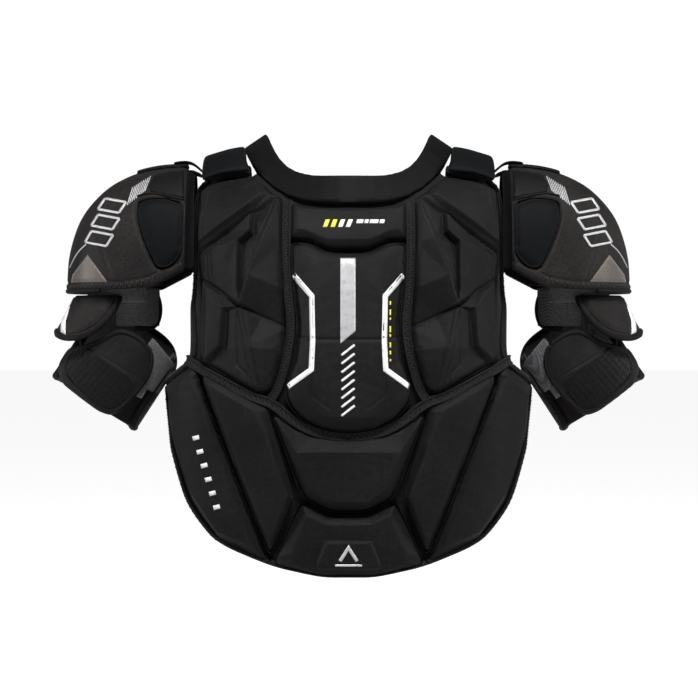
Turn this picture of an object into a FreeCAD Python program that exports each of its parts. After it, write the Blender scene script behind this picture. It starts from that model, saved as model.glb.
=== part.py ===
"""Ice-hockey shoulder pads, senior medium: a padded vest with a collar, clavicle arches, floating
shoulder caps, biceps guards, forearm-side cuffs with opening flaps, rib straps and an abdominal pad.

Frame: +Z up, +X to the wearer's right, +Y the way the wearer faces, so the back panel faces -Y.
The origin is on the wearer's mid-plane, at the height of the back panel's lowest hem.
All sizes are in millimetres.
The right-hand pieces are drawn and the left-hand ones are their mirror images.
"""
import FreeCAD, Part
import math
import os
from FreeCAD import Vector

# ---------------------------------------------------------------- driving dimensions
GAP = 0.3                 # clearance between stacked layers
LINER = 4.0               # mesh-covered foam lining of the vest
PLATE = 2.0               # rigid polyethylene inserts
PAD = 17.0                # outer face of the moulded back and chest pads, from the wearer's body
WING = 13.0               # outer face of the thinner side wings and rib pads
FAR = 260.0               # a depth beyond every part of the vest

BOXINESS = 3.0            # superellipse exponent of the torso's cross-section
SLEEVE_BOXINESS = 2.2     # the same for the arm sleeves
SOFT_RADIUS = 90.0        # rounding of an outline's wide corners
SOFT_HALF_ANGLE = math.radians(64)
RING_STEPS = 16           # steps round half a torso ring
SLEEVE_POINTS = 24        # points round one sleeve ring

BACK_EDGE_Y = -15.0       # where the back wings stop at the wearer's side
FRONT_EDGE_Y = 10.0       # where the rib pads start

# The wearer's body as rings: height, half width, half depth.
BACK_BODY = [
    (-12, 164, 107), (24, 170, 110), (60, 174, 113), (96, 179, 116.5), (132, 184.5, 119),
    (168, 188, 121), (204, 190, 121.5), (240, 180, 121), (276, 165, 119), (312, 160, 115.5),
    (346, 160, 109), (376, 160, 98), (400, 159, 81), (417, 155, 60), (428, 139, 39), (434, 118, 20),
]
FRONT_BODY = [
    (-12, 148, 106.5), (24, 152, 109.5), (60, 156, 112.5), (96, 160, 116), (132, 163, 119),
    (168, 166, 121), (204, 168, 121.5), (240, 166, 120.5), (276, 162, 118), (312, 160, 113.5),
    (346, 160, 106.5), (376, 160, 95), (400, 159, 77.5), (417, 155, 56), (428, 139, 36), (434, 118, 18),
]

# Collar: a band of one width and thickness that leans outwards at the neck's sides.
NECK_RADIUS_X = 100.0
NECK_BACK_Y, NECK_FRONT_Y = -101.0, 99.0
COLLAR_SPLIT_Y = 44.0
COLLAR_HEIGHT, COLLAR_THICK = 30.0, 9.0
COLLAR_PEAK_Z = 461.0
COLLAR_REAR = (406.0, 12.0, 4.0)    # at the centre: mid-height, lean in degrees, how late the band rises
COLLAR_FRONT = (366.0, 25.0, 2.6)
COLLAR_SIDE_LEAN = 56.0

# Clavicle arch: a cushion bent over each shoulder, drawn through three points (y, z) of its upper face.
ARCH_FROM_X, ARCH_TO_X = 117.0, 157.0
ARCH_REAR, ARCH_TOP, ARCH_FRONT = (-70, 430), (-13, 459), (42, 440)
ARCH_THICK = 16.0
ARCH_SLOPE = 0.3                    # how much it falls for each unit outwards
WEB_REACH = 40.0                    # how far the webbing under it runs from the mid-depth plane

# Shoulder cap: a quarter dome about an axis that runs front to back.
CAP_X, CAP_Z = 174.0, 305.0   # the dome's axis
CAP_REACH = 132.0             # from the axis to the outer face
CAP_HALF_DEPTH = 80.0
CAP_ROUNDNESS = 2.35
CAP_LEG = 10.0                # how close the dome's front and rear legs come to the axis
CAP_FROM, CAP_TO = -3.0, 90.0  # degrees, from the hem to the shoulder's top
CAP_SHELL, CAP_PLATE, CAP_FOAM = 7.0, 2.0, 6.0
CAP_PUFF = 2.5                # how far the deltoid pads stand out of the shell
CAP_BAND_WIDTH, CAP_BAND = 44.0, 2.5
CAP_PLATE_WIDTH = 96.0
DELTOID_FROM_Y = 20.0

# Biceps guard: a flared sleeve, of which a window on the outside of the arm is kept.
GUARD_TOP = (Vector(243, 0, 298), (54, 52))       # ring centre, (half width, half depth)
GUARD_HEM = (Vector(248, 0, 244), (78, 67))
GUARD_SHELL, GUARD_BACKING = 5.5, 2.2
SHEATH_X, SHEATH_HALF = 236.0, (29, 38)           # the lining round the arm
SHEATH_FROM_Z, SHEATH_TO_Z, SHEATH_WALL = 262.0, 296.0, 3.0

# Forearm-side cuff: a tilted sleeve.
CUFF_CENTRE = Vector(252.5, 2, 217)
CUFF_TILT = 33.0
CUFF_HALF_WIDTH, CUFF_HALF_DEPTH = 54.0, 47.0
CUFF_TOP, CUFF_BOTTOM = -54.0, 44.0
CUFF_PAD, CUFF_LINER = 6.0, 2.5
CUFF_OPEN_S, CUFF_OPEN_Y = -46.0, -16.0   # the open side, in the cuff's own axes
FLAP_OUT, FLAP_IN = 6.0, 3.5
FLAP_Y = -18.5
ELASTIC, ELASTIC_FROM_A = 1.8, 12.0

# Rib straps.
STRAP_INNER_X, STRAP_THICK = 184.6, 2.4
STRAP_FROM_Y, STRAP_TAB_Y, STRAP_TO_Y = -8.0, 22.0, 57.0
STRAP_LOW_Z, STRAP_HIGH_Z = 158.0, 203.0


# ---------------------------------------------------------------- outlines, seen from behind: (x, z)
UPPER_PAD = [
    (68.8, 397), (80, 403), (99, 421.5), (110, 424), (142, 419), (161, 411), (162.5, 330), (160, 312),
    (157.5, 226), (96, 192.5), (85, 192.5), (79, 198), (67, 237), (64, 259), (67, 300), (69.5, 353),
]
YOKE_HALF = [(0, 388), (30, 388.5), (53, 391.5), (61, 394), (62, 353), (42, 353), (21, 341.5), (0, 341.5)]
SPINE_HALF = [
    (0, 338.5), (20, 338.5), (41, 350), (61.5, 350), (59, 315), (54, 263), (57.5, 229), (68, 187),
    (52, 166), (29, 153), (0, 149),
]
SPINE_PLATE_HALF = [(0, 330), (32, 330), (32, 200), (24, 176), (0, 170)]
SHIELD_HALF = [(0, 144), (37, 147.5), (58, 158), (76, 171), (80, 169), (49, 82.5), (19, 68), (0, 68)]
TAIL_HALF = [(0, 65), (20, 65), (50, 79.5), (77, 21), (79, 11.5), (28, 0), (0, 0)]
FLANK = [(84.5, 179), (93, 181), (154, 213), (155, 205), (84, 24), (80, 24), (53, 83)]
WING_PAD = [
    (158.5, 214), (165, 223), (202, 198.5), (202, 185), (192, 143), (171, 75), (140, 36), (82, 12.3),
    (81, 20), (87, 24), (158.5, 205),
]
BACK_LINER_HALF = [
    (0, 395.5), (28, 395.5), (38, 392.5), (53, 391), (77, 401.5), (97, 419.5), (102, 424.5),
    (142, 420.5), (168, 411), (170, 330), (166, 224), (203, 199), (202, 185), (192, 143), (171, 75),
    (140, 36), (79, 11.5), (28, 0), (0, 0),
]

CHEST_PAD = [
    (38, 343), (58, 360), (82, 385), (101, 414), (108, 420), (142, 415), (158, 407), (160, 330),
    (156, 262), (150, 224), (96, 203), (44, 203), (38, 212),
]
STERNUM_HALF = [(0, 342), (20, 342), (34, 322), (34, 222), (22, 204), (0, 204)]
STERNUM_PLATE_HALF = [(0, 328), (18, 328), (26, 312), (26, 232), (18, 216), (0, 216)]
RIB_PAD = [(114, 204), (152, 219), (160, 243), (183, 212), (183, 190), (176, 120), (160, 66), (114, 48)]
FRONT_LINER_HALF = [
    (0, 349), (28, 352), (54, 364), (78, 385), (97, 412), (104, 421.5), (142, 417), (164, 407),
    (166, 330), (163, 243), (183, 212), (183, 190), (176, 120), (160, 62), (112, 44), (112, 200),
    (0, 200),
]
BELLY_HALF = [(0, 196), (106, 196), (109, 160), (104, 60), (78, 14), (30, 0), (0, 0)]

ABOVE_PADS = [(106, 427.5), (142, 423), (158, 415.5), (158, 470), (106, 470)]

DELTOID_HOLE = [
    (177, 394), (200, 401), (226, 396), (225, 377), (219, 357), (210, 337), (203, 323), (190, 325),
    (177, 338),
]
DELTOID = [
    (179, 391), (200, 398.5), (223.5, 394), (222.5, 377), (216.5, 357), (208, 338), (201.5, 325.5),
    (191, 327.5), (179, 339),
]
CAP_HEM_CUT = [(160, 280), (214, 280), (214, 300), (170, 323), (160, 323)]
GUARD = [
    (242, 296.5), (300, 296.5), (312, 288), (322, 268), (325, 257), (318, 250), (300, 245.5),
    (280, 249.5), (266, 258), (253.5, 270.5), (244.5, 286),
]
GUARD_PLATE = [
    (245, 293), (298, 293), (309, 285), (317, 268), (319, 258), (313, 253.5), (300, 249.5),
    (283, 253.5), (269, 261.5), (258, 272), (249, 286),
]
FLAP = [
    (220, 250), (208.5, 235), (208.5, 223), (214, 207), (228, 188), (244, 171), (254, 166), (267, 170),
    (289, 186), (311, 203), (315, 220), (306, 238), (294, 242), (280, 243.5), (264, 251), (251, 261),
    (235, 259),
]
CUFF_CORNER = [(190, 212), (187.5, 228), (194, 243.5), (205, 253), (190, 262), (160, 250), (160, 212)]
HOOK_PATCH = [
    (228, 204), (284, 241), (296, 235), (303, 222), (303, 212), (290, 196), (267, 177), (254, 173),
    (245, 178),
]


# ---------------------------------------------------------------- geometry helpers
def rounded_wire(corners, radius, place):
    """A closed wire through 2-D corners; place turns each rounded point (u, v) into a Vector.

    Sharp corners get the radius asked for, and the wide ones SOFT_RADIUS, so that they read as one curve."""
    points = [Vector(u, v, 0) for u, v in corners]
    arcs = []
    for i, corner in enumerate(points):
        back, ahead = points[i - 1] - corner, points[(i + 1) % len(points)] - corner
        room = 0.45 * min(back.Length, ahead.Length)
        back.normalize()
        ahead.normalize()
        half_angle = 0.5 * math.acos(max(-1.0, min(1.0, back.dot(ahead))))
        bend = radius if half_angle < SOFT_HALF_ANGLE else SOFT_RADIUS
        setback = min(bend / math.tan(half_angle), room)
        turn = setback * math.tan(half_angle)
        towards = (back + ahead)
        if towards.Length < 1e-3:
            arcs.append((corner, None, corner))
            continue
        towards.normalize()
        middle = corner + towards * (turn / math.sin(half_angle) - turn)
        arcs.append((corner + back * setback, middle, corner + ahead * setback))
    edges = []
    for i, (start, middle, end) in enumerate(arcs):
        previous_end = arcs[i - 1][2]
        edges.append(Part.makeLine(place(previous_end), place(start)))
        if middle is not None:
            edges.append(Part.Arc(place(start), place(middle), place(end)).toShape())
    return Part.Wire(edges)


def prism(outline, from_y, to_y, radius=4.0):
    """The outline (x, z) as a solid between two depths."""
    wire = rounded_wire(outline, radius, lambda p: Vector(p.x, from_y, p.y))
    return Part.Face(wire).extrude(Vector(0, to_y - from_y, 0))


def both_halves(half):
    """A symmetrical outline from the points of its right half, which start and end at x = 0."""
    left = [(-x, z) for x, z in reversed(half) if x > 0]
    return half + left


def closed_spline(points):
    curve = Part.BSplineCurve()
    curve.interpolate(points, PeriodicFlag=True)
    return Part.Wire(curve.toShape())


def open_spline(points):
    curve = Part.BSplineCurve()
    curve.interpolate(points)
    return curve.toShape()


def superellipse(half_u, half_v, exponent, count):
    """Points (u, v) evenly turned round a superellipse."""
    points = []
    for k in range(count):
        angle = 2 * math.pi * k / count
        c, s = math.cos(angle), math.sin(angle)
        r = (abs(c / half_u) ** exponent + abs(s / half_v) ** exponent) ** (-1 / exponent)
        points.append((r * c, r * s))
    return points


def torso(rings, offset, facing, made={}):
    """The wearer's body grown by offset: its rear (facing -1) or front (+1) skin, made solid inwards."""
    key = (facing, offset)
    if key in made:
        return made[key]
    grid = []
    for i, (z, half_width, half_depth) in enumerate(rings):
        below, above = rings[max(i - 1, 0)], rings[min(i + 1, len(rings) - 1)]
        rise, lean = above[0] - below[0], above[2] - below[2]
        slope = math.hypot(rise, lean)
        outward, upward = rise / slope, -lean / slope
        ring = superellipse(half_width + offset, half_depth + offset * outward, BOXINESS, 2 * RING_STEPS)
        grid.append([Vector(x, facing * y, z + offset * upward) for x, y in ring[:RING_STEPS + 1]])
    skin = Part.BSplineSurface()
    skin.interpolate(grid)
    made[key] = skin.toShape().extrude(Vector(0, -facing * FAR, 0))
    return made[key]


def back_layer(outline, inner, outer, radius=4.0):
    """A curved sheet of the back panel between two distances from the body."""
    block = prism(outline, BACK_EDGE_Y, -FAR, radius)
    return block.common(torso(BACK_BODY, outer, -1)).cut(torso(BACK_BODY, inner, -1))


def front_layer(outline, inner, outer, radius=4.0):
    """The same for the front panel."""
    block = prism(outline, FRONT_EDGE_Y, FAR, radius)
    return block.common(torso(FRONT_BODY, outer, 1)).cut(torso(FRONT_BODY, inner, 1))


def mirrored(shape):
    return shape.mirror(Vector(0, 0, 0), Vector(1, 0, 0))


def save(name, shape):
    """Writes one node; the shape is cleaned down to its solids."""
    solids = shape.Solids
    if not solids or not all(s.isValid() for s in solids):
        raise ValueError(f"{name} is not a valid solid")
    result = solids[0] if len(solids) == 1 else Part.makeCompound(solids)
    result.exportStep(f"parts/{name}.step")
    print(f"{name}: {len(solids)} solid(s), {result.Volume / 1000:.1f} cm3")


def save_pair(name, shape):
    """Writes the right-hand node and its mirror image."""
    save(name + "_right", shape)
    save(name + "_left", mirrored(shape))


# ---------------------------------------------------------------- vest, back
def make_back():
    pad_in = LINER + GAP
    plate_out = pad_in + PLATE
    save("back_liner", back_layer(both_halves(BACK_LINER_HALF), 0, LINER, 3.0))
    save_pair("upper_back_pad", back_layer(UPPER_PAD, pad_in, PAD, 8.0))
    save("spine_yoke_pad", back_layer(both_halves(YOKE_HALF), pad_in, PAD - 4, 2.0))
    spine = back_layer(both_halves(SPINE_HALF), pad_in, PAD + 2, 5.0)
    plate = back_layer(both_halves(SPINE_PLATE_HALF), pad_in, plate_out, 6.0)
    pocket = back_layer(both_halves(SPINE_PLATE_HALF), pad_in - GAP, plate_out + GAP, 6.0)
    save("spine_pad", spine.cut(pocket))
    save("spine_plate", plate)
    save("lower_back_shield", back_layer(both_halves(SHIELD_HALF), pad_in, PAD, 5.0))
    save("tail_pad", back_layer(both_halves(TAIL_HALF), pad_in, PAD - 2, 2.0))
    save_pair("flank_pad", back_layer(FLANK, pad_in, PAD - 1, 3.0))
    save_pair("back_wing", back_layer(WING_PAD, pad_in, WING, 3.0))


# ---------------------------------------------------------------- vest, front
def make_front():
    pad_in = LINER + GAP
    plate_out = pad_in + PLATE
    save("front_liner", front_layer(both_halves(FRONT_LINER_HALF), 0, LINER, 3.0))
    save_pair("chest_pad", front_layer(CHEST_PAD, pad_in, PAD, 8.0))
    sternum = front_layer(both_halves(STERNUM_HALF), pad_in, PAD + 2, 5.0)
    plate = front_layer(both_halves(STERNUM_PLATE_HALF), pad_in, plate_out, 4.0)
    pocket = front_layer(both_halves(STERNUM_PLATE_HALF), pad_in - GAP, plate_out + GAP, 4.0)
    save("sternum_pad", sternum.cut(pocket))
    save("sternum_plate", plate)
    save_pair("rib_pad", front_layer(RIB_PAD, pad_in, WING, 5.0))
    save_pair("loop_patch", make_loop_patch())
    save("belly_pad", front_layer(both_halves(BELLY_HALF), LINER / 2, PAD, 10.0))


def make_loop_patch():
    """The field on the rib pad's side that the rib strap's tab grips."""
    window = Part.makeBox(60, STRAP_TO_Y - 14, STRAP_HIGH_Z - STRAP_LOW_Z)
    window.translate(Vector(140, 16, STRAP_LOW_Z))
    return window.common(torso(FRONT_BODY, WING + GAP + 1.0, 1)).cut(torso(FRONT_BODY, WING + GAP, 1))


# ---------------------------------------------------------------- collar and clavicle arches
def collar_section(turn):
    """The collar band's cross-section at an angle from the back's centre (degrees), as a closed wire."""
    a = math.radians(turn)
    sin_a, cos_a = math.sin(a), math.cos(a)
    rear = cos_a >= 0
    centre_y = (NECK_BACK_Y if rear else -NECK_FRONT_Y) * cos_a
    low_z, centre_lean, hollow = COLLAR_REAR if rear else COLLAR_FRONT
    centre_z = low_z + (COLLAR_PEAK_Z - low_z) * abs(sin_a) ** hollow
    lean = math.radians(centre_lean + (COLLAR_SIDE_LEAN - centre_lean) * sin_a ** 2)
    out = Vector(sin_a, -cos_a, 0)
    width = out * -math.sin(lean) + Vector(0, 0, math.cos(lean))
    thick = out * math.cos(lean) + Vector(0, 0, math.sin(lean))
    centre = Vector(NECK_RADIUS_X * sin_a, centre_y, centre_z)
    corners = [(-0.5, -0.5), (0.5, -0.5), (0.5, 0.5), (-0.5, 0.5)]
    points = [centre + width * (u * COLLAR_HEIGHT) + thick * (v * COLLAR_THICK) for u, v in corners]
    return Part.makePolygon(points + points[:1])


def make_collar():
    """The band round the neck, in a rear and a front length that part where the front panel hinges."""
    rear = Part.makeLoft([collar_section(t) for t in range(-125, 126, 10)], True, True)
    front = Part.makeLoft([collar_section(t) for t in range(115, 246, 10)], True, True)
    behind = Part.makeBox(400, 400, 200, Vector(-200, COLLAR_SPLIT_Y - 1 - 400, 300))
    ahead = Part.makeBox(400, 400, 200, Vector(-200, COLLAR_SPLIT_Y + 2, 300))
    save("collar_back", rear.common(behind))
    save("collar_front", front.common(ahead))


def arch():
    """The cushion bent over the shoulder, before it is trimmed to the vest."""
    def arc(drop):
        """Its upper face's arc, or the lower one's when drop is the thickness."""
        (rear_y, rear_z), (top_y, top_z), (front_y, front_z) = ARCH_REAR, ARCH_TOP, ARCH_FRONT
        points = [
            (rear_y + drop * 0.7, rear_z - drop * 0.9), (top_y, top_z - drop),
            (front_y - drop * 0.5, front_z - drop * 0.9),
        ]
        return [Vector(ARCH_FROM_X, y, z) for y, z in points]
    upper, lower = arc(0), arc(ARCH_THICK)
    edges = [
        Part.Arc(*upper).toShape(), Part.makeLine(upper[2], lower[2]),
        Part.Arc(*lower).toShape(), Part.makeLine(lower[0], upper[0]),
    ]
    face = Part.Face(Part.Wire(Part.__sortEdges__(edges)))
    width = ARCH_TO_X - ARCH_FROM_X
    return face.extrude(Vector(width, 0, -ARCH_SLOPE * width))


def over_shoulder(offset):
    """Everything under the vest's skin above the shoulder: the back's skin and its mirror image in front."""
    rear = torso(BACK_BODY, offset, -1).common(Part.makeBox(200, 80, 100, Vector(60, -80, 380)))
    return rear, rear.mirror(Vector(0, 0, 0), Vector(0, 1, 0))


def make_clavicle():
    """The padded arch over each shoulder, and the webbing under it that joins the back to the front."""
    cushion = arch().common(prism(ABOVE_PADS, -FAR, COLLAR_SPLIT_Y - 1, 1.0))
    for half in over_shoulder(LINER - 1 + GAP):
        cushion = cushion.cut(half)
    save_pair("clavicle_pad", cushion)
    web = prism(ABOVE_PADS, -WEB_REACH, 0, 1.0).common(over_shoulder(LINER - 1)[0]).cut(over_shoulder(0)[0])
    save_pair("shoulder_web", web.fuse(web.mirror(Vector(0, 0, 0), Vector(0, 1, 0))).removeSplitter())


# ---------------------------------------------------------------- shoulder caps
def cap_point(rho, y, degrees):
    a = math.radians(degrees)
    return Vector(CAP_X + rho * math.cos(a), y, CAP_Z + rho * math.sin(a))


def cap_curve(inset, degrees):
    """Points of the dome's cross-section at one angle, from its rear leg over the crown to its front leg."""
    a = math.radians(degrees)
    rounding = (abs(math.cos(a)) ** CAP_ROUNDNESS + abs(math.sin(a)) ** CAP_ROUNDNESS) ** (-1 / CAP_ROUNDNESS)
    reach, depth = CAP_REACH * rounding - inset, CAP_HALF_DEPTH - inset
    exponent = 2 / CAP_ROUNDNESS
    limit = math.acos((CAP_LEG / reach) ** (1 / exponent))
    points = []
    for k in range(-8, 9):
        turn = limit * k / 8
        rho = reach * math.cos(turn) ** exponent
        y = math.copysign(depth * abs(math.sin(turn)) ** exponent, turn)
        points.append(cap_point(rho, y, degrees))
    return points


def cap_layer(outer_inset, inner_inset, from_deg=CAP_FROM, to_deg=CAP_TO):
    """A curved sheet of the cap between two depths below its outer face."""
    wires = []
    steps = 8
    for k in range(steps + 1):
        degrees = from_deg + (to_deg - from_deg) * k / steps
        outer, inner = cap_curve(outer_inset, degrees), cap_curve(inner_inset, degrees)
        edges = [
            open_spline(outer), Part.makeLine(outer[-1], inner[-1]),
            open_spline(inner[::-1]), Part.makeLine(inner[0], outer[0]),
        ]
        wires.append(Part.Wire(edges))
    return Part.makeLoft(wires, True, False)


def make_cap():
    """The dome's shell, the pads in its two holes, the plate and foam behind it and the strap on top."""
    hem = prism(CAP_HEM_CUT, -FAR, FAR, 6.0)
    shell = cap_layer(0, CAP_SHELL).cut(hem)
    puff = cap_layer(-CAP_PUFF, CAP_SHELL - GAP).cut(hem)
    for name, side in (("rear", -1), ("front", 1)):
        shell = shell.cut(prism(DELTOID_HOLE, side * DELTOID_FROM_Y, side * FAR, 6.0))
        save_pair(f"deltoid_pad_{name}", puff.common(prism(DELTOID, side * DELTOID_FROM_Y, side * FAR, 5.0)))
    save_pair("shoulder_cap", shell)
    plate_in = CAP_SHELL + GAP
    window = Part.makeBox(200, CAP_PLATE_WIDTH, 200, Vector(CAP_X + 6, -CAP_PLATE_WIDTH / 2, CAP_Z + 6))
    save_pair("cap_plate", cap_layer(plate_in, plate_in + CAP_PLATE, 8, 82).common(window))
    foam_in = plate_in + CAP_PLATE + GAP
    save_pair("cap_foam", cap_layer(foam_in, foam_in + CAP_FOAM, 2, 88).cut(hem))
    band = Part.makeBox(60, CAP_BAND_WIDTH, 60, Vector(CAP_X - 5, -CAP_BAND_WIDTH / 2, CAP_Z + 90))
    save_pair("cap_strap", cap_layer(-GAP - CAP_BAND, -GAP, 60, CAP_TO).common(band))


# ---------------------------------------------------------------- arm sleeves
def sleeve(top_centre, top_half, bottom_centre, bottom_half, lateral):
    """A solid sleeve between two rings; each half is (half width along lateral, half depth along Y)."""
    wires = []
    for centre, (half_s, half_y) in ((top_centre, top_half), (bottom_centre, bottom_half)):
        outline = superellipse(half_s, half_y, SLEEVE_BOXINESS, SLEEVE_POINTS)
        wires.append(closed_spline([centre + lateral * s + Vector(0, y, 0) for s, y in outline]))
    return Part.makeLoft(wires, True, True)


def guard_cone(inset):
    """The biceps guard's flared form, shrunk by inset."""
    ends = []
    for centre, (half_x, half_y) in (GUARD_TOP, GUARD_HEM):
        ends += [centre, (half_x - inset, half_y - inset)]
    return sleeve(*ends, Vector(1, 0, 0))


def sheath(inset, extra):
    """The straight sleeve of the biceps guard's lining, shrunk by inset and lengthened at both ends."""
    half = (SHEATH_HALF[0] - inset, SHEATH_HALF[1] - inset)
    top, hem = Vector(SHEATH_X, 0, SHEATH_TO_Z + extra), Vector(SHEATH_X, 0, SHEATH_FROM_Z - 20 - extra)
    return sleeve(top, half, hem, half, Vector(1, 0, 0))


def make_guard():
    shell = guard_cone(0).cut(guard_cone(GUARD_SHELL))
    save_pair("bicep_guard", shell.common(prism(GUARD, -FAR, FAR, 5.0)))
    backing_in = GUARD_SHELL + GAP
    backing = guard_cone(backing_in).cut(guard_cone(backing_in + GUARD_BACKING))
    save_pair("bicep_guard_plate", backing.common(prism(GUARD_PLATE, -FAR, FAR, 4.0)))
    lining = sheath(0, 0).cut(sheath(SHEATH_WALL, 4))
    kept = Part.makeBox(120, 80, 60, Vector(190, -14, SHEATH_FROM_Z))
    below = cuff_box(-140, 140, -100, 100, CUFF_TOP - 4, 200)
    save_pair("bicep_liner", lining.common(kept).cut(below))


def cuff_axes():
    tilt = math.radians(CUFF_TILT)
    lateral = Vector(math.cos(tilt), 0, math.sin(tilt))
    along = Vector(math.sin(tilt), 0, -math.cos(tilt))
    return lateral, along


def cuff_form(outset, extra=0.0, from_a=CUFF_TOP, to_a=CUFF_BOTTOM):
    """The cuff's sleeve form, grown by outset and lengthened by extra at both ends."""
    lateral, along = cuff_axes()
    half = (CUFF_HALF_WIDTH + outset, CUFF_HALF_DEPTH + outset)
    top, bottom = CUFF_CENTRE + along * (from_a - extra), CUFF_CENTRE + along * (to_a + extra)
    return sleeve(top, half, bottom, half, lateral)


def cuff_box(from_s, to_s, from_y, to_y, from_a=-80.0, to_a=80.0):
    """A block in the cuff's own axes: lateral, front-back and along the arm."""
    lateral, along = cuff_axes()
    corner = CUFF_CENTRE + lateral * from_s + Vector(0, from_y, 0) + along * to_a
    block = Part.makeBox(to_s - from_s, to_y - from_y, to_a - from_a)
    block.rotate(Vector(0, 0, 0), Vector(0, 1, 0), -CUFF_TILT)
    block.translate(corner)
    return block


def cuff_layer(outer, inner, extra=8, from_a=CUFF_TOP):
    """A sheet of the cuff between two distances from its form, lengthened by extra at both ends."""
    return cuff_form(outer, extra, from_a).cut(cuff_form(inner, extra + 2, from_a))


def make_cuff():
    """The C-shaped cuff with its mesh lining, the elastic that spans its open side, and the opening flap."""
    opening = cuff_box(CUFF_OPEN_S, 100, -100, CUFF_OPEN_Y)
    corner = prism(CUFF_CORNER, -FAR, FAR, 4.0)
    save_pair("cuff_pad", cuff_layer(0, -CUFF_PAD, 0).cut(opening).cut(corner))
    lining_out = -CUFF_PAD - GAP
    lining = cuff_layer(lining_out, lining_out - CUFF_LINER, -3)
    save_pair("cuff_liner", lining.cut(opening).cut(corner))
    elastic_out = -FLAP_IN - 1.0
    elastic = cuff_layer(elastic_out, elastic_out - ELASTIC, 0, ELASTIC_FROM_A)
    save_pair("cuff_elastic", elastic.common(cuff_box(CUFF_OPEN_S + 1.5, -2, -100, CUFF_OPEN_Y - 0.5)))
    rear = cuff_box(-100, 100, -100, FLAP_Y)
    save_pair("cuff_flap", cuff_layer(FLAP_OUT, -FLAP_IN).common(rear).common(prism(FLAP, -FAR, 0, 8.0)))
    patch_in = FLAP_OUT + GAP
    patch = cuff_layer(patch_in + 1.2, patch_in).common(rear)
    save_pair("hook_patch", patch.common(prism(HOOK_PATCH, -FAR, 0, 4.0)))


# ---------------------------------------------------------------- rib straps
def strap_piece(from_y, to_y, thick, lift, radius):
    """A flat length of strap at the wearer's side, lift outside the strap's inner face."""
    corners = [(from_y, STRAP_LOW_Z), (to_y, STRAP_LOW_Z), (to_y, STRAP_HIGH_Z), (from_y, STRAP_HIGH_Z)]
    wire = rounded_wire(corners, radius, lambda p: Vector(STRAP_INNER_X + lift, p.x, p.y))
    return Part.Face(wire).extrude(Vector(thick, 0, 0))


def make_straps():
    save_pair("rib_strap", strap_piece(STRAP_FROM_Y, STRAP_TO_Y - 2, STRAP_THICK, 0, 1.0))
    save_pair("strap_tab", strap_piece(STRAP_TAB_Y, STRAP_TO_Y, 2.0, STRAP_THICK + GAP, 8.0))


os.makedirs("parts", exist_ok=True)
make_back()
make_front()
make_collar()
make_clavicle()
make_cap()
make_guard()
make_cuff()
make_straps()
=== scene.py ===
"""Looks for the ice-hockey shoulder pads: covers, moulded relief, seams, prints and materials.

Frame, metres: +X to the wearer's right, +Y the way the wearer faces, +Z up; the back panel faces -Y.
Numbers below are in millimetres of the same frame, drawn for the wearer's right and mirrored.
"""
import math
import bmesh
import bpy
import numpy as np
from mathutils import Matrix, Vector
from mathutils.bvhtree import BVHTree
from mathutils.geometry import delaunay_2d_cdt
from mathutils.kdtree import KDTree


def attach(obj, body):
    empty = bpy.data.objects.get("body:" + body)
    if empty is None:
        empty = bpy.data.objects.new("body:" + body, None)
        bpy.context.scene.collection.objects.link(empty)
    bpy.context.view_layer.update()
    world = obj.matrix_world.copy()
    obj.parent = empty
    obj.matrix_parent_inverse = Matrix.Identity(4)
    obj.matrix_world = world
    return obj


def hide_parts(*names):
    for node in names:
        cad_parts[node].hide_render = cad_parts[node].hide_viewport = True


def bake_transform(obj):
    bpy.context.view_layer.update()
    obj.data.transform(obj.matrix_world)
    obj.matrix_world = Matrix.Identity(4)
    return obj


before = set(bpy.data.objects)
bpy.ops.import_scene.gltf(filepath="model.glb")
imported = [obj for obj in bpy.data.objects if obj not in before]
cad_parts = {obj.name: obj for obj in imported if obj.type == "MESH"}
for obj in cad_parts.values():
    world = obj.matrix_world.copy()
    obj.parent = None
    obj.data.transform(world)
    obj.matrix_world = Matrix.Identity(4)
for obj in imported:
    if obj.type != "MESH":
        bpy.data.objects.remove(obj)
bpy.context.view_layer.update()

MM = 0.001
SIDES = (("right", 1), ("left", -1))
BEHIND, AHEAD = -1, 1
TORSO_HALF_WIDTH, TORSO_HALF_DEPTH = 0.19, 0.125        # metres
CLOTH_FRAMES = 14
CLOTH_STIFFNESS, CLOTH_SHEAR, CLOTH_BENDING = 30, 15, 1.5
WALL_FACING = 0.45        # normals turned further than this from outward belong to side walls
PATH_STEP = 2.5           # between the points of a path laid on a surface
RAY_START = 0.4           # metres from the mid-depth plane or axis
DROP_TRIES = 40
MIDDLE_BAND = 0.02        # metres: surfaces beyond the mid-depth plane by more than this are the far side
FILM_TUCK = 0.35          # of a film's lower face below the cloth
CORNER_SHARE, CORNER_REACH = 0.25, 9.0
LADDER_LEAN, LADDER_THREAD = 0.9, 0.34
RUNNING_SPACING, RUNNING_STITCH, RUNNING_THREAD = 3.4, 2.3, 0.28


# ================================================================ mesh helpers
def coords(obj):
    """The object's vertex positions as an (n, 3) array."""
    flat = np.empty(len(obj.data.vertices) * 3)
    obj.data.vertices.foreach_get("co", flat)
    return flat.reshape(-1, 3)


def set_coords(obj, points):
    obj.data.vertices.foreach_set("co", points.ravel())
    obj.data.update()


def normals(obj):
    flat = np.empty(len(obj.data.vertices) * 3)
    obj.data.vertex_normals.foreach_get("vector", flat)
    return flat.reshape(-1, 3)


def edges_of(obj):
    flat = np.empty(len(obj.data.edges) * 2, dtype=np.int64)
    obj.data.edges.foreach_get("vertices", flat)
    return flat.reshape(-1, 2)


def new_object(name, vertices, faces):
    mesh = bpy.data.meshes.new(name)
    mesh.from_pydata([tuple(v) for v in vertices], [], [tuple(f) for f in faces])
    mesh.validate()
    obj = bpy.data.objects.new(name, mesh)
    bpy.context.scene.collection.objects.link(obj)
    return obj


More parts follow.
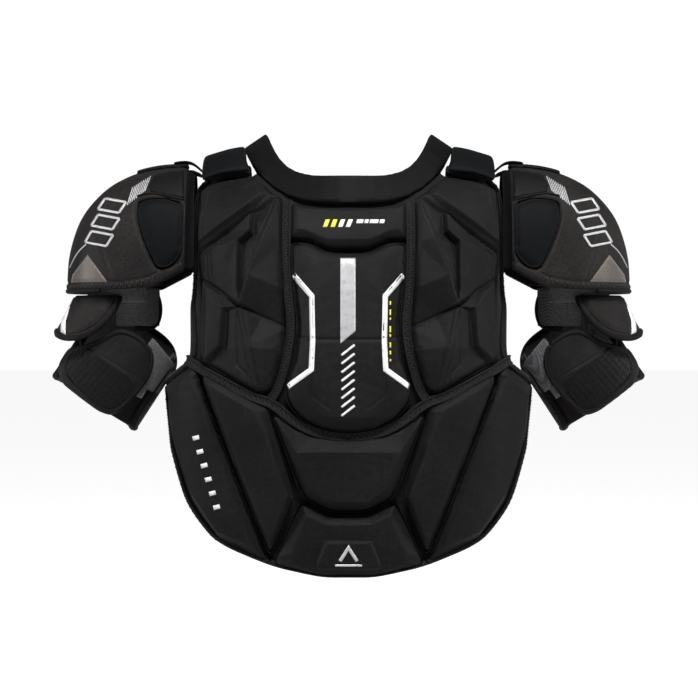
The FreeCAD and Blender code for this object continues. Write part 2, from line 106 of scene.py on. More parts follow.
def applied(obj):
    """Applies the object's modifiers to its mesh."""
    bpy.context.view_layer.update()
    graph = bpy.context.evaluated_depsgraph_get()
    mesh = bpy.data.meshes.new_from_object(obj.evaluated_get(graph))
    obj.modifiers.clear()
    obj.data = mesh


def smooth(obj, rounds):
    """Moves each vertex half-way towards its neighbours' mean, rounds times."""
    points, edges = coords(obj), edges_of(obj)
    count = len(points)
    degree = np.maximum(np.bincount(edges.ravel(), minlength=count), 1)
    for _ in range(rounds):
        mean = np.empty_like(points)
        for axis in range(3):
            total = np.bincount(edges[:, 0], points[edges[:, 1], axis], count)
            total += np.bincount(edges[:, 1], points[edges[:, 0], axis], count)
            mean[:, axis] = total / degree
        points = points + 0.5 * (mean - points)
    set_coords(obj, points)


def node_parts(node):
    """A CAD node's (vertices, faces), in metres."""
    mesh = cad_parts[node].data
    return np.array([v.co for v in mesh.vertices]), [list(p.vertices) for p in mesh.polygons]


def joined(parts):
    """One (vertices, faces) from several."""
    vertices, faces = [], []
    for points, polygons in parts:
        offset = len(vertices)
        vertices += [tuple(p) for p in points]
        faces += [tuple(offset + i for i in polygon) for polygon in polygons]
    return vertices, faces


def even_mesh(name, parts, voxel, rounds):
    """One closed mesh of even quads, voxel mm wide, round parts of (vertices, faces)."""
    obj = new_object(name, *joined(parts))
    remesh = obj.modifiers.new("even", "REMESH")
    remesh.mode = "VOXEL"
    remesh.voxel_size = voxel * MM
    remesh.use_smooth_shade = True
    applied(obj)
    smooth(obj, rounds)
    return obj


def cover(node, voxel, rounds=6):
    """The even mesh that stands for one CAD node."""
    return even_mesh(node + "_cover", [node_parts(node)], voxel, rounds)


def subdivided(obj):
    modifier = obj.modifiers.new("fine", "SUBSURF")
    modifier.levels = modifier.render_levels = 1
    applied(obj)


def shade_smooth(obj):
    obj.data.polygons.foreach_set("use_smooth", [True] * len(obj.data.polygons))
    obj.data.update()


def smoothstep(low, high, value):
    t = np.clip((value - low) / (high - low), 0, 1)
    return t * t * (3 - 2 * t)


def inflate(obj, pressure, cap_mm):
    """Swells a closed mesh as stuffed fabric, by cloth simulation, moving no point further than cap_mm."""
    before = coords(obj)
    cloth = obj.modifiers.new("cloth", "CLOTH")
    settings = cloth.settings
    settings.quality = 4
    settings.mass = 0.25
    settings.tension_stiffness = settings.compression_stiffness = CLOTH_STIFFNESS
    settings.shear_stiffness = CLOTH_SHEAR
    settings.bending_stiffness = CLOTH_BENDING
    settings.use_pressure = True
    settings.uniform_pressure_force = pressure
    settings.effector_weights.gravity = 0
    cloth.collision_settings.use_collision = False
    scene = bpy.context.scene
    for number in range(1, CLOTH_FRAMES + 1):
        scene.frame_set(number)
    applied(obj)
    scene.frame_set(1)
    moved = coords(obj) - before
    length = np.linalg.norm(moved, axis=1, keepdims=True)
    limit = cap_mm * MM
    moved *= np.where(length > limit, limit / np.maximum(length, 1e-9), 1)
    set_coords(obj, before + moved)
    smooth(obj, 2)


# ================================================================ relief helpers (millimetres)
def torso_out(points):
    """The outward direction of the vest's boxy cross-section at each point (metres)."""
    x = points[:, 0] / TORSO_HALF_WIDTH
    y = points[:, 1] / TORSO_HALF_DEPTH
    out = np.stack([np.sign(x) * x * x / TORSO_HALF_WIDTH, np.sign(y) * y * y / TORSO_HALF_DEPTH,
                    np.zeros(len(points))], 1)
    return out / np.maximum(np.linalg.norm(out, axis=1, keepdims=True), 1e-9)


def polyline_distance(points, line):
    """Each (x, z) point's distance to a polyline."""
    best = np.full(len(points), 1e9)
    for start, end in zip(line, line[1:]):
        a, d = np.array(start[:2], float), np.array(end[:2], float) - np.array(start[:2], float)
        t = np.clip(((points - a) @ d) / (d @ d), 0, 1)
        best = np.minimum(best, np.linalg.norm(points - a - t[:, None] * d, axis=1))
    return best


class Facets:
    """A height field of flat facets through polylines of (x, z, height)."""

    def __init__(self, lines):
        points, edges, heights = [], [], []
        for line in lines:
            start = len(points)
            points += [Vector((p[0], p[1])) for p in line]
            heights += [p[2] for p in line]
            edges += [(start + i, start + i + 1) for i in range(len(line) - 1)]
        found, _, faces, origin, _, _ = delaunay_2d_cdt(points, edges, [], 0, 1e-3)
        known = {}
        for i, sources in enumerate(origin):
            if sources:
                known[i] = heights[sources[0]]
        for i, place in enumerate(found):
            if i not in known:
                known[i] = self.along(place, lines)
        vertices = [(p.x, p.y, known[i]) for i, p in enumerate(found)]
        self.tree = BVHTree.FromPolygons(vertices, [list(f) for f in faces])

    @staticmethod
    def along(place, lines):
        """The height of a crossing point on whichever line runs through it."""
        best, height = 1e9, 0.0
        for line in lines:
            for a, b in zip(line, line[1:]):
                start, step = Vector(a[:2]), Vector(b[:2]) - Vector(a[:2])
                t = min(max((place - start).dot(step) / step.length_squared, 0), 1)
                gap = (place - start - step * t).length
                if gap < best:
                    best, height = gap, a[2] + (b[2] - a[2]) * t
        return height

    def __call__(self, points):
        out = np.zeros(len(points))
        for i, (x, z) in enumerate(points):
            hit = self.tree.ray_cast(Vector((x, z, 50)), Vector((0, 0, -1)))[0]
            if hit is None:
                hit = self.tree.find_nearest(Vector((x, z, 0)))[0]
            out[i] = hit.z
        return out


def groove(points, line, depth, width):
    """A soft-bottomed groove of the given half width along a polyline."""
    distance = polyline_distance(points, line) / width
    return -depth * np.exp(-distance * distance)


def rim_distance(obj, outward):
    """Each vertex's distance (mm) from the piece's side walls, where its normal turns away from outward."""
    facing = np.einsum("ij,ij->i", normals(obj), outward)
    points = coords(obj)
    rim = np.nonzero(np.abs(facing) < WALL_FACING)[0]
    tree = KDTree(len(rim))
    for k, i in enumerate(rim):
        tree.insert(points[i], k)
    tree.balance()
    distance = np.zeros(len(points))
    for i in np.nonzero(facing >= WALL_FACING)[0]:
        distance[i] = tree.find(points[i])[2] * 1000
    return distance, facing


def emboss(obj, outward, height_of, bevel_depth, bevel_width):
    """Pushes the outer face outwards by height_of(|x|, z) and rounds it down to its edge, all in mm."""
    shade_smooth(obj)
    points = coords(obj)
    direction = outward(points)
    distance, facing = rim_distance(obj, direction)
    weight = smoothstep(0.1, 0.6, facing)
    height = np.zeros(len(points))
    outer = np.nonzero(weight > 0)[0]
    if height_of is not None:
        plan = np.stack([np.abs(points[outer, 0]), points[outer, 2]], 1) * 1000
        height[outer] = height_of(plan)
    away = np.clip(distance / bevel_width, 0, 1)
    height -= bevel_depth * (1 - away) ** 1.5
    set_coords(obj, points + direction * (weight * height)[:, None] * MM)
    smooth(obj, 1)


# ================================================================ materials
def add_node(tree, kind, settings=(), **inputs):
    """A shader node; inputs are given by name, as values or as other nodes' sockets."""
    made = tree.nodes.new(kind)
    for key, value in dict(settings).items():
        setattr(made, key, value)
    for key, value in inputs.items():
        socket = made.inputs[int(key[1:])] if key[0] == "i" and key[1:].isdigit() else made.inputs[key]
        if isinstance(value, bpy.types.NodeSocket):
            tree.links.new(value, socket)
        else:
            socket.default_value = value
    return made


def arithmetic(tree, operation, a, b=0.0, c=0.0):
    return add_node(tree, "ShaderNodeMath", {"operation": operation}, i0=a, i1=b, i2=c).outputs[0]


def times(tree, a, b):
    return arithmetic(tree, "MULTIPLY", a, b)


def tinted(tree, shader, colour, shade):
    """The base colour, darkened or lightened by a shade."""
    tint = add_node(tree, "ShaderNodeVectorMath", {"operation": "SCALE"}, i0=colour, Scale=shade)
    tree.links.new(tint.outputs[0], shader.inputs["Base Color"])


def bumped(tree, shader, height, strength):
    """Surface relief from a height in metres."""
    bump = add_node(tree, "ShaderNodeBump", Height=height, Strength=strength, Distance=1.0)
    tree.links.new(bump.outputs[0], shader.inputs["Normal"])


def blank_material(name):
    material = bpy.data.materials.new(name)
    material.use_nodes = True
    tree = material.node_tree
    tree.nodes.clear()
    output = tree.nodes.new("ShaderNodeOutputMaterial")
    shader = tree.nodes.new("ShaderNodeBsdfPrincipled")
    tree.links.new(shader.outputs[0], output.inputs[0])
    return material, tree, shader


def fabric_axes(tree, pitch_mm):
    """Thread coordinates across and up the cloth, one unit per thread."""
    place = tree.nodes.new("ShaderNodeTexCoord").outputs["Object"]
    split = add_node(tree, "ShaderNodeSeparateXYZ", Vector=place)
    scale = 1 / (pitch_mm * MM)
    across = arithmetic(tree, "MULTIPLY_ADD", split.outputs[1], 0.8, split.outputs[0])
    upward = arithmetic(tree, "MULTIPLY_ADD", split.outputs[1], 0.5, split.outputs[2])
    return place, times(tree, across, scale), times(tree, upward, scale)


def ridged(tree, value):
    """|sin| of a thread coordinate: one round-topped thread per unit."""
    return arithmetic(tree, "ABSOLUTE", arithmetic(tree, "SINE", times(tree, value, math.pi)))


def plain_weave(tree, across, upward):
    """Height of over-and-under threads."""
    cell = arithmetic(tree, "ADD", arithmetic(tree, "FLOOR", across), arithmetic(tree, "FLOOR", upward))
    over = arithmetic(tree, "PINGPONG", cell, 1.0)
    mix = add_node(tree, "ShaderNodeMix", i0=over, i2=ridged(tree, across), i3=ridged(tree, upward))
    return mix.outputs[0]


def ribs(tree, across, upward):
    """Height of parallel ribs with small cross threads."""
    return arithmetic(tree, "MULTIPLY_ADD", ridged(tree, times(tree, across, 3.0)), 0.25,
                      ridged(tree, upward))


def open_knit(tree, across, upward):
    """Height of a knit with a hole in each cell, offset row by row."""
    row = arithmetic(tree, "PINGPONG", arithmetic(tree, "FLOOR", upward), 1.0)
    shifted = arithmetic(tree, "MULTIPLY_ADD", row, 0.5, across)
    u = arithmetic(tree, "SUBTRACT", arithmetic(tree, "FRACT", shifted), 0.5)
    v = arithmetic(tree, "SUBTRACT", arithmetic(tree, "FRACT", upward), 0.5)
    square = arithmetic(tree, "MULTIPLY_ADD", u, u, times(tree, v, v))
    ramp = add_node(tree, "ShaderNodeMapRange", i0=arithmetic(tree, "SQRT", square), i1=0.22, i2=0.34,
                    i3=0.0, i4=1.0)
    return ramp.outputs[0]


def noise(tree, place, size_mm, detail=3.0):
    return add_node(tree, "ShaderNodeTexNoise", Vector=place, Scale=1 / (size_mm * MM),
                    Detail=detail).outputs[0]


def ranged(tree, value, low, high, to_low, to_high):
    return add_node(tree, "ShaderNodeMapRange", i0=value, i1=low, i2=high, i3=to_low, i4=to_high).outputs[0]


def cloth(name, colour, pitch_mm, weave=plain_weave, roughness=0.6, sheen=0.2, depth_mm=0.12, grain=0.3,
          edge_highlight=0.5, metallic=0.0, gap_shade=0.5, fuzz_mm=0.0, shine=0.11):
    """Woven or knitted fabric: thread relief, uneven dye, and a painted highlight of paler threads along
    sharp convex edges.
    """
    material, tree, shader = blank_material(name)
    place, across, upward = fabric_axes(tree, pitch_mm)
    threads = weave(tree, across, upward)
    broad, fine = noise(tree, place, 60), noise(tree, place, 2.6, 5.0)
    shade = ranged(tree, threads, 0.0, 1.0, gap_shade, 1.12)
    shade = times(tree, shade, ranged(tree, broad, 0.35, 0.65, 1 - grain / 2, 1 + grain / 2))
    shade = times(tree, shade, ranged(tree, fine, 0.3, 0.7, 1 - grain, 1 + grain))
    # Pointiness makes sharp convex edges paler: a painted edge highlight.
    edges = tree.nodes.new("ShaderNodeNewGeometry").outputs["Pointiness"]
    painted_edge_highlight = ranged(tree, edges, 0.5, 0.62, 0.0, edge_highlight)
    shade = arithmetic(tree, "ADD", shade, painted_edge_highlight)
    tinted(tree, shader, colour, shade)
    tree.links.new(ranged(tree, fine, 0.3, 0.7, roughness - 0.07, roughness + 0.07),
                   shader.inputs["Roughness"])
    shader.inputs["Metallic"].default_value = metallic
    shader.inputs["Sheen Weight"].default_value = sheen
    shader.inputs["Sheen Roughness"].default_value = 0.45
    shader.inputs["Specular IOR Level"].default_value = shine
    height = times(tree, threads, depth_mm * MM)
    if fuzz_mm:
        fuzz = noise(tree, place, fuzz_mm, 6.0)
        height = arithmetic(tree, "MULTIPLY_ADD", fuzz, 1.2 * MM, height)
    rumple = arithmetic(tree, "MULTIPLY_ADD", fine, 0.10 * MM, height)
    bumped(tree, shader, rumple, 0.75)
    return material


def ink(name, colour, roughness=0.45, metallic=0.0, scuff=0.35):
    """A heat-pressed print: a smooth film that shows the cloth's grain and small scuffs."""
    material, tree, shader = blank_material(name)
    place, across, upward = fabric_axes(tree, 0.8)
    threads = plain_weave(tree, across, upward)
    marks = ranged(tree, noise(tree, place, 5.0, 8.0), 0.55, 0.75, 1.0, 1 - scuff)
    shade = times(tree, marks, ranged(tree, threads, 0.0, 1.0, 0.82, 1.0))
    tinted(tree, shader, colour, shade)
    shader.inputs["Roughness"].default_value = roughness
    shader.inputs["Metallic"].default_value = metallic
    bumped(tree, shader, times(tree, threads, 0.06 * MM), 0.6)
    return material


def moulded(name, colour, roughness, cell_mm):
    """Moulded plastic with a spark-eroded grain."""
    material, tree, shader = blank_material(name)
    place = tree.nodes.new("ShaderNodeTexCoord").outputs["Object"]
    grain = noise(tree, place, cell_mm, 4.0)
    tinted(tree, shader, colour, ranged(tree, grain, 0.3, 0.7, 0.75, 1.25))
    tree.links.new(ranged(tree, grain, 0.3, 0.7, roughness - 0.1, roughness + 0.1),
                   shader.inputs["Roughness"])
    bumped(tree, shader, times(tree, grain, 0.25 * MM), 0.6)
    return material


# Every cloth below is painted paler along its sharp convex edges, a painted edge highlight, 0.5 strong unless
# given.
SHELL = cloth("shell_fabric", (0.0060, 0.0060, 0.0064), 0.75, roughness=0.5, sheen=0.02, grain=0.5)
SPINE = cloth("spine_fabric", (0.0062, 0.0062, 0.0066), 0.6, roughness=0.46, sheen=0.02, grain=0.4)
CAP_CLOTH = cloth("cap_fabric", (0.0125, 0.0110, 0.0104), 0.8, roughness=0.45, sheen=0.03, grain=0.5)
NEOPRENE = cloth("neoprene", (0.0026, 0.0030, 0.0036), 0.5, roughness=0.6, sheen=0.02, depth_mm=0.05,
                 grain=0.15, shine=0.07)
COLLAR_KNIT = cloth("collar_knit", (0.0038, 0.0038, 0.0042), 0.55, weave=ribs, roughness=0.5, sheen=0.02,
                    depth_mm=0.06, grain=0.3, shine=0.08)
TAPE = cloth("seam_tape", (0.0066, 0.0066, 0.0070), 0.9, weave=ribs, roughness=0.6, sheen=0.03,
             depth_mm=0.15)
BINDING = cloth("edge_binding", (0.0034, 0.0034, 0.0037), 0.7, weave=ribs, roughness=0.5, sheen=0.03)
THREAD = cloth("thread", (0.022, 0.022, 0.023), 0.3, weave=ribs, roughness=0.4, sheen=0.08, depth_mm=0.05)
BROWN_CLOTH = cloth("strap_elastic", (0.0115, 0.0092, 0.0086), 1.1, weave=ribs, roughness=0.5, sheen=0.04)
ELASTIC = cloth("flap_elastic", (0.0085, 0.0085, 0.0094), 1.0, weave=ribs, roughness=0.5, sheen=0.05)
HOOK = cloth("hook_tape", (0.0040, 0.0040, 0.0044), 1.3, roughness=0.9, sheen=0.12, depth_mm=0.5,
             fuzz_mm=1.6, grain=0.6)
GREY_MESH = cloth("grey_mesh", (0.120, 0.121, 0.126), 1.7, weave=open_knit, roughness=0.6, sheen=0.08,
                  depth_mm=0.5, gap_shade=0.22, edge_highlight=0.1)
LINING = cloth("mesh_lining", (0.0075, 0.0075, 0.0082), 2.4, weave=open_knit, roughness=0.7, sheen=0.04,
               depth_mm=0.5, gap_shade=0.25)
SILVER_CLOTH = cloth("silver_fabric", (0.115, 0.10, 0.09), 0.7, roughness=0.38, metallic=0.5, grain=0.15)
WHITE_INK = ink("white_print", (0.78, 0.78, 0.78))
SILVER_INK = ink("silver_print", (0.52, 0.52, 0.53), roughness=0.4, metallic=0.3)
YELLOW_INK = ink("yellow_print", (0.80, 0.74, 0.03))
PLATE_PLASTIC = moulded("insert_plastic", (0.05, 0.05, 0.055), 0.45, 1.5)


def dressed(obj, material, nodes):
    """Gives a piece its material and smooth shading, and hides the CAD nodes it stands for."""
    obj.data.materials.clear()
    obj.data.materials.append(material)
    shade_smooth(obj)
    if nodes:
        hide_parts(*nodes)


def finish_piece(obj, material, body, slot, *nodes):
    """Finishes a piece that moves with one body."""
    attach(obj, body)
    dressed(obj, material, nodes)


def blended(obj, material, slot, a, b, start, end, *nodes):
    """Finishes a piece of soft goods that crosses the joint between bodies a and b."""
    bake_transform(obj)
    dressed(obj, material, nodes)


def plain_cover(node, material, body, slot, voxel, rounds=3):
    """A part whose cover follows its CAD shape closely."""
    finish_piece(cover(node, voxel, rounds), material, body, slot, node)


# ================================================================ vest pads
# Facet lines are (x, z, height), drawn on the wearer's right and mirrored by using |x|.
UPPER_FACETS = Facets([
    [(70, 398, -1), (81, 404, -1), (100, 423, -1), (142, 420, -1.5), (160, 411, -1.5), (163, 345, -1.6),
     (161, 313, -2.4), (158, 225, -1), (96, 191, -1), (85, 191, -1), (78, 197, -1), (66, 237, -1.2),
     (63, 261, -3), (66, 300, -1), (68.5, 353, -1), (70, 398, -1)],
    [(75, 396, -0.6), (90, 352, 2.0), (104, 315, 2.4), (113.8, 286, 1.2)],
    [(113.8, 281, 1.0), (105, 240, 2.2), (94.5, 197, 0.6)],
    [(113.8, 283.6, -1.6), (92, 273, -2.4), (64, 261, -3)],
    [(113.8, 283.6, -1.6), (136, 298, -2.4), (161, 313, -2.4)],
    [(77, 402, -1.6), (100, 386, -2.6), (130, 364, -2.6), (163, 341, -2.6)],
    [(92, 402, 0.4), (105, 391, 1.0), (158, 353, 0.6)],
    [(100, 384, -2.2), (101, 361, -2.4), (113.2, 350, -2.2), (114.4, 298, -1.8)],
    [(104, 381, 0.8), (104.4, 363, 0.9), (116.6, 352, 0.9), (117.6, 300, 0.2)],
    [(128.4, 278, -1.4), (131.4, 240, -1.6), (146.6, 224, -1.4)],
    [(132.6, 282, 0.9), (135.4, 242, 0.9), (149.6, 229, 0.6), (149.6, 304, 0.6)],
])
SPINE_FACETS = Facets([
    [(0, 340, -1.2), (21, 340, -1.2), (42, 351, -1.6), (62, 351, -2.2), (59, 314, -2.6), (54, 262, -3),
     (57, 229, -2.8), (68, 187, -2.0), (52, 166, -1.8), (29, 152, -2), (0, 148, -2)],
    [(0, 330, 0.4), (24, 330, 0.4), (44, 338, -0.2), (56, 316, -0.6), (37.5, 293, 1.4), (36.5, 247, 1.6),
     (38, 217, 1.4), (63, 199, -0.6)],
    [(37.5, 293, 1.4), (34, 318, 0.6), (24, 330, 0.4)],
    [(0, 166, 1.0), (26, 168, 1.0), (50, 184, 0.6), (38, 217, 1.4)],
    [(0, 330, 0.4), (0, 166, 1.0)],
])
YOKE_FACETS = Facets([
    [(0, 388, -0.5), (30, 388, -0.5), (62, 394, -0.8), (62, 353, -1.6), (42, 353, -1.6), (21, 341.5, -1.4),
     (0, 341.5, -1.4)],
    [(0, 353, 0.8), (24, 353, 0.8), (44, 362, 0.8), (54, 364, 0.4), (54, 386, 0.3), (0, 382, 0.6)],
])
SHIELD_FACETS = Facets([
    [(0, 145, -2), (37, 148, -2), (58, 158, -2), (78, 171, -1.6), (80, 169, -1.6), (49, 83, -2.4),
     (19, 68, -2.6), (0, 68, -2.6)],
    [(0, 131, 1.4), (54, 131, 1.4), (37, 92, 1.6), (19, 79, 1.4), (0, 79, 1.4)],
    [(54, 131, 1.4), (74, 163, -0.4)],
])
TAIL_FACETS = Facets([
    [(0, 65, -2.4), (20, 65, -2.4), (50, 79, -2.6), (77, 21, -2), (79, 11, -1.8), (28, 0, -1.2),
     (0, 0, -1.2)],
    [(0, 55, 0.6), (23, 55, 0.6), (43, 64, 0.8), (60, 24, 0.8), (58, 14, 0.4), (28, 7, 0.2), (0, 7, 0.2)],
    [(0, 37.6, 0.6), (24, 37.6, 0.6), (33, 15, 0.2), (33, 9.5, 0.2)],
    [(0, 36, 1.9), (23, 36, 1.9), (31, 15, 1.6), (31, 9.5, 1.2), (0, 8.5, 1.2)],
])
FLANK_FACETS = Facets([
    [(84, 179, -2), (93, 181, -1.4), (154, 213, -1), (155, 205, -1.2), (84, 24, -2.2), (80, 24, -2.4),
     (53, 83, -2.8), (84, 179, -2)],
    [(91, 172, -0.2), (88, 152, 0.9), (63.5, 84, 1.6), (80, 44, 0.6)],
    [(102, 176, 0.6), (146, 200, 0.3), (84, 40, 0.4)],
])
WING_FACETS = Facets([
    [(158, 214, -1.5), (165, 223, -1.5), (203, 199, -2), (202, 185, -2.6), (192, 143, -3), (171, 75, -3.2),
     (140, 36, -3), (82, 12, -2), (81, 20, -2.2), (87, 24, -2.2), (158, 205, -1.8)],
    [(168, 208, 0.9), (187, 190, 1.0), (184, 145, 1.2), (164, 86, 1.2), (138, 47, 0.9), (100, 31, 0.4)],
    [(168, 208, 0.9), (163, 196, 0.6), (100, 31, 0.4)],
])
CHEST_FACETS = Facets([
    [(38, 343, -1), (58, 360, -1), (82, 385, -1), (101, 414, -1), (142, 415, -1), (158, 407, -1),
     (160, 330, -1), (156, 262, -1), (150, 224, -1), (96, 203, -1), (44, 203, -1), (38, 212, -1),
     (38, 343, -1)],
    [(50, 338, 0.8), (104, 398, 0.8), (146, 402, 0.4)],
    [(50, 338, 0.8), (62, 290, 2.0), (56, 215, 0.6)],
    [(62, 290, 2.0), (112, 312, 2.2), (152, 330, 0.8)],
    [(62, 290, 2.0), (108, 262, -1.6), (150, 240, -0.8)],
    [(112, 312, 2.2), (108, 262, -1.6), (98, 210, 0.4)],
])
STERNUM_FACETS = Facets([
    [(0, 342, -1.5), (20, 342, -1.5), (34, 322, -2), (34, 222, -2), (22, 204, -1.5), (0, 204, -1.5)],
    [(0, 330, 0.6), (12, 330, 0.6), (22, 314, 1.0), (22, 232, 1.0), (12, 216, 0.6), (0, 216, 0.6)],
])
RIB_FACETS = Facets([
    [(114, 204, -1), (152, 219, -1), (160, 243, -1), (183, 212, -2), (183, 190, -2), (176, 120, -2),
     (160, 66, -2), (114, 48, -1), (114, 204, -1)],
    [(124, 196, 1.0), (150, 208, 1.0), (170, 204, 0.6), (166, 120, 0.8), (150, 78, 0.6), (124, 68, 0.8),
     (124, 196, 1.0)],
    [(124, 132, 1.8), (166, 150, 1.2)],
])
BELLY_FACETS = Facets([
    [(0, 196, -1), (106, 196, -1), (109, 160, -1.5), (104, 60, -1.5), (78, 14, -1.5), (30, 0, -1.2),
     (0, 0, -1.2)],
    [(0, 182, 1.0), (92, 182, 1.0), (94, 150, 1.2), (88, 70, 1.2), (66, 30, 0.8), (26, 16, 0.6),
     (0, 16, 0.6)],
    [(0, 120, 2.6), (50, 132, 2.2), (94, 150, 1.2)],
    [(0, 70, 2.2), (50, 60, 1.8), (66, 30, 0.8)],
])
UPPER_GROOVES = [
    ([(79, 399), (101, 383), (161.6, 341)], 2.2, 1.5),
    ([(83, 404), (104, 388.5), (161.6, 348)], 1.2, 1.3),
    ([(113.8, 283.6), (92, 273), (64, 261)], 1.8, 1.7),
    ([(113.8, 283.6), (136, 298), (161, 313)], 1.8, 1.7),
    ([(79, 393), (94.5, 352), (108, 315), (115.5, 288)], 1.3, 1.3),
    ([(71, 393), (72.5, 330), (67, 268)], 0.9, 1.4),
    ([(100.5, 382), (101.5, 361), (113.6, 349.5), (114.4, 292)], 1.3, 1.3),
    ([(117.6, 280), (107.6, 240), (97, 197)], 1.3, 1.3),
    ([(110.3, 280), (101.8, 240), (92.5, 199)], 1.1, 1.3),
    ([(75, 240), (72, 228), (88, 199)], 0.8, 1.5),
    ([(144.3, 352), (144.3, 344.5), (153, 339.4), (153.8, 315)], 1.4, 1.2),
    ([(116.3, 278), (115.6, 221), (106.5, 212.3), (104.2, 198)], 1.4, 1.2),
    ([(151, 410.7), (152, 389.8), (158, 370.7), (154.7, 358.5)], 1.4, 1.2),
    ([(153.8, 306), (155.4, 228)], 1.3, 1.1),
    ([(148.6, 338), (148.6, 318)], 1.1, 1.0),
]
SPINE_GROOVES = [
    ([(0, 248), (37, 248), (54, 252)], 1.5, 1.4),
    ([(38, 217), (38, 190), (20, 176)], 0.7, 1.4),
]


FACET_SCALE = 3.1


def relief(facets, grooves=(), pucker_mm=0.18):
    """A pad's height function: facets, grooves and the cover's slight unevenness."""
    def height(plan):
        total = facets(plan) * FACET_SCALE
        for line, depth, width in grooves:
            total += groove(plan, line, depth, width)
        x, z = plan[:, 0], plan[:, 1]
        total += pucker_mm * (np.sin(x / 7.3 + np.sin(z / 11.0) * 1.7) * np.sin(z / 9.1 + x / 23.0)
                              + 0.6 * np.sin(x / 3.7 + z / 5.3) * np.sin(z / 3.1 - x / 8.7))
        return total
    return height


SHOULDER_TILT = ((300, 0.10), (350, 0.30), (385, 0.65), (400, 0.95), (417, 1.5), (430, 2.4))


def vest_out(points):
    """The outward direction of the vest: boxy in plan, and leaning back over the shoulders."""
    out = torso_out(points)
    heights, leans = zip(*SHOULDER_TILT)
    out[:, 2] = np.interp(points[:, 2] * 1000, (0,) + heights, (0,) + leans) * np.abs(out[:, 1])
    return out / np.linalg.norm(out, axis=1, keepdims=True)


def vest_pad(node, body, shape, material, bevel, voxel=2.2, swell=0.0):
    """A moulded, covered pad: even mesh, optional swelling by cloth simulation, then its relief."""
    obj = cover(node, voxel if not swell else max(voxel, 3.5))
    if swell:
        inflate(obj, 4.0, swell)
        subdivided(obj)
    subdivided(obj)
    emboss(obj, vest_out, shape, *bevel)
    finish_piece(obj, material, body, "shell_fabric", node)


# stem, whether there is one on each side, body, facets, grooves, material, (bevel depth, width), voxel
VEST_PADS = (
    ("upper_back_pad", True, "back", UPPER_FACETS, UPPER_GROOVES, SHELL, (5.0, 7.0), 2.0),
    ("spine_yoke_pad", False, "back", YOKE_FACETS, (), SPINE, (2.0, 5.0), 2.2),
    ("spine_pad", False, "back", SPINE_FACETS, SPINE_GROOVES, SPINE, (3.5, 6.0), 2.0),
    ("lower_back_shield", False, "back", SHIELD_FACETS, (), SHELL, (1.8, 3.0), 2.0),
    ("tail_pad", False, "back", TAIL_FACETS, (), SHELL, (1.6, 3.0), 2.0),
    ("flank_pad", True, "back", FLANK_FACETS, (), SHELL, (1.8, 3.0), 2.2),
    ("back_wing", True, "back", WING_FACETS, (), SHELL, (2.0, 3.5), 2.2),
    ("chest_pad", True, "front", CHEST_FACETS, (), SHELL, (6.0, 9.0), 2.2),
    ("sternum_pad", False, "front", STERNUM_FACETS, (), SPINE, (5.0, 8.0), 2.2),
    ("rib_pad", True, "front", RIB_FACETS, (), SHELL, (3.0, 7.0), 2.2),
)


def build_vest():
    for stem, paired, body, facets, grooves, material, bevel, voxel in VEST_PADS:
        for node in [f"{stem}_{side}" for side, _ in SIDES] if paired else [stem]:
            vest_pad(node, body, relief(facets, grooves), material, bevel, voxel)
    vest_pad("belly_pad", "belly", relief(BELLY_FACETS), SHELL, (6.0, 12.0), 3.5, swell=3.0)


def quilted(plan):
    """Shallow quilting lines of the foam lining."""
    x, z = plan[:, 0], plan[:, 1]
    lattice = np.minimum(np.abs((x + z) % 42 - 21), np.abs((x - z) % 42 - 21))
    return -0.9 * np.exp(-(lattice / 1.6) ** 2)


def build_linings():
    for node, body in (("back_liner", "back"), ("front_liner", "front")):
        obj = cover(node, 2.6, rounds=4)
        points = coords(obj)
        direction = -vest_out(points)
        facing = np.einsum("ij,ij->i", normals(obj), direction)
        weight = smoothstep(0.3, 0.8, facing)
        plan = np.stack([points[:, 0], points[:, 2]], 1) * 1000
        points = points + direction * (weight * quilted(plan))[:, None] * MM
        if body == "back":
            raised = smoothstep(378, 391, plan[:, 1]) * smoothstep(104, 97, np.abs(plan[:, 0]))
            points[:, 2] += 6 * MM * raised
            points[:, 1] *= 1 - 0.05 * raised
        set_coords(obj, points)
        finish_piece(obj, LINING, body, "mesh_lining", node)


# ================================================================ things laid on a surface
def surface_tree(*objects):
    """A ray-casting tree of finished pieces, in metres."""
    parts = [(coords(obj), [p.vertices for p in obj.data.polygons]) for obj in objects]
    return BVHTree.FromPolygons(*joined(parts))


def drop(tree, x, z, facing):
    """The first surface point met from behind (-1) or ahead (+1) at x, z; steps inwards on a miss."""
    for _ in range(DROP_TRIES):
        start = Vector((x * MM, facing * RAY_START, z * MM))
        place, normal, _, _ = tree.ray_cast(start, Vector((0, -facing, 0)))
        if place is not None and place.y * facing > -MIDDLE_BAND:
            return place, normal if normal.y * facing > 0 else -normal
        x -= math.copysign(1.0, x)
    return Vector((x * MM, facing * MIDDLE_BAND, z * MM)), Vector((math.copysign(1, x), 0, 0))


def curve_through(corners):
    """Even points along a polyline whose corners are cut three times."""
    points = [np.array(c, float) for c in corners]
    closed = np.linalg.norm(points[0] - points[-1]) < 1e-6
    for _ in range(3):
        cut = [] if closed else [points[0]]
        for a, b in zip(points, points[1:]):
            share = min(CORNER_SHARE, CORNER_REACH / max(np.linalg.norm(b - a), 1e-6))
            cut += [a + (b - a) * share, b - (b - a) * share]
        points = cut + ([cut[0]] if closed else [points[-1]])
    lengths = [0.0]
    for a, b in zip(points, points[1:]):
        lengths.append(lengths[-1] + float(np.linalg.norm(b - a)))
    count = max(int(round(lengths[-1] / PATH_STEP)), 2)
    stations = np.linspace(0, lengths[-1], count + 1)
    columns = [np.interp(stations, lengths, [p[k] for p in points]) for k in range(len(points[0]))]
    return np.stack(columns, 1)


def evened_out(vectors, rounds):
    """Blends each vector with its neighbours', in place, keeping both ends."""
    for _ in range(rounds):
        vectors[1:-1] = vectors[1:-1] * 0.5 + (vectors[:-2] + vectors[2:]) * 0.25


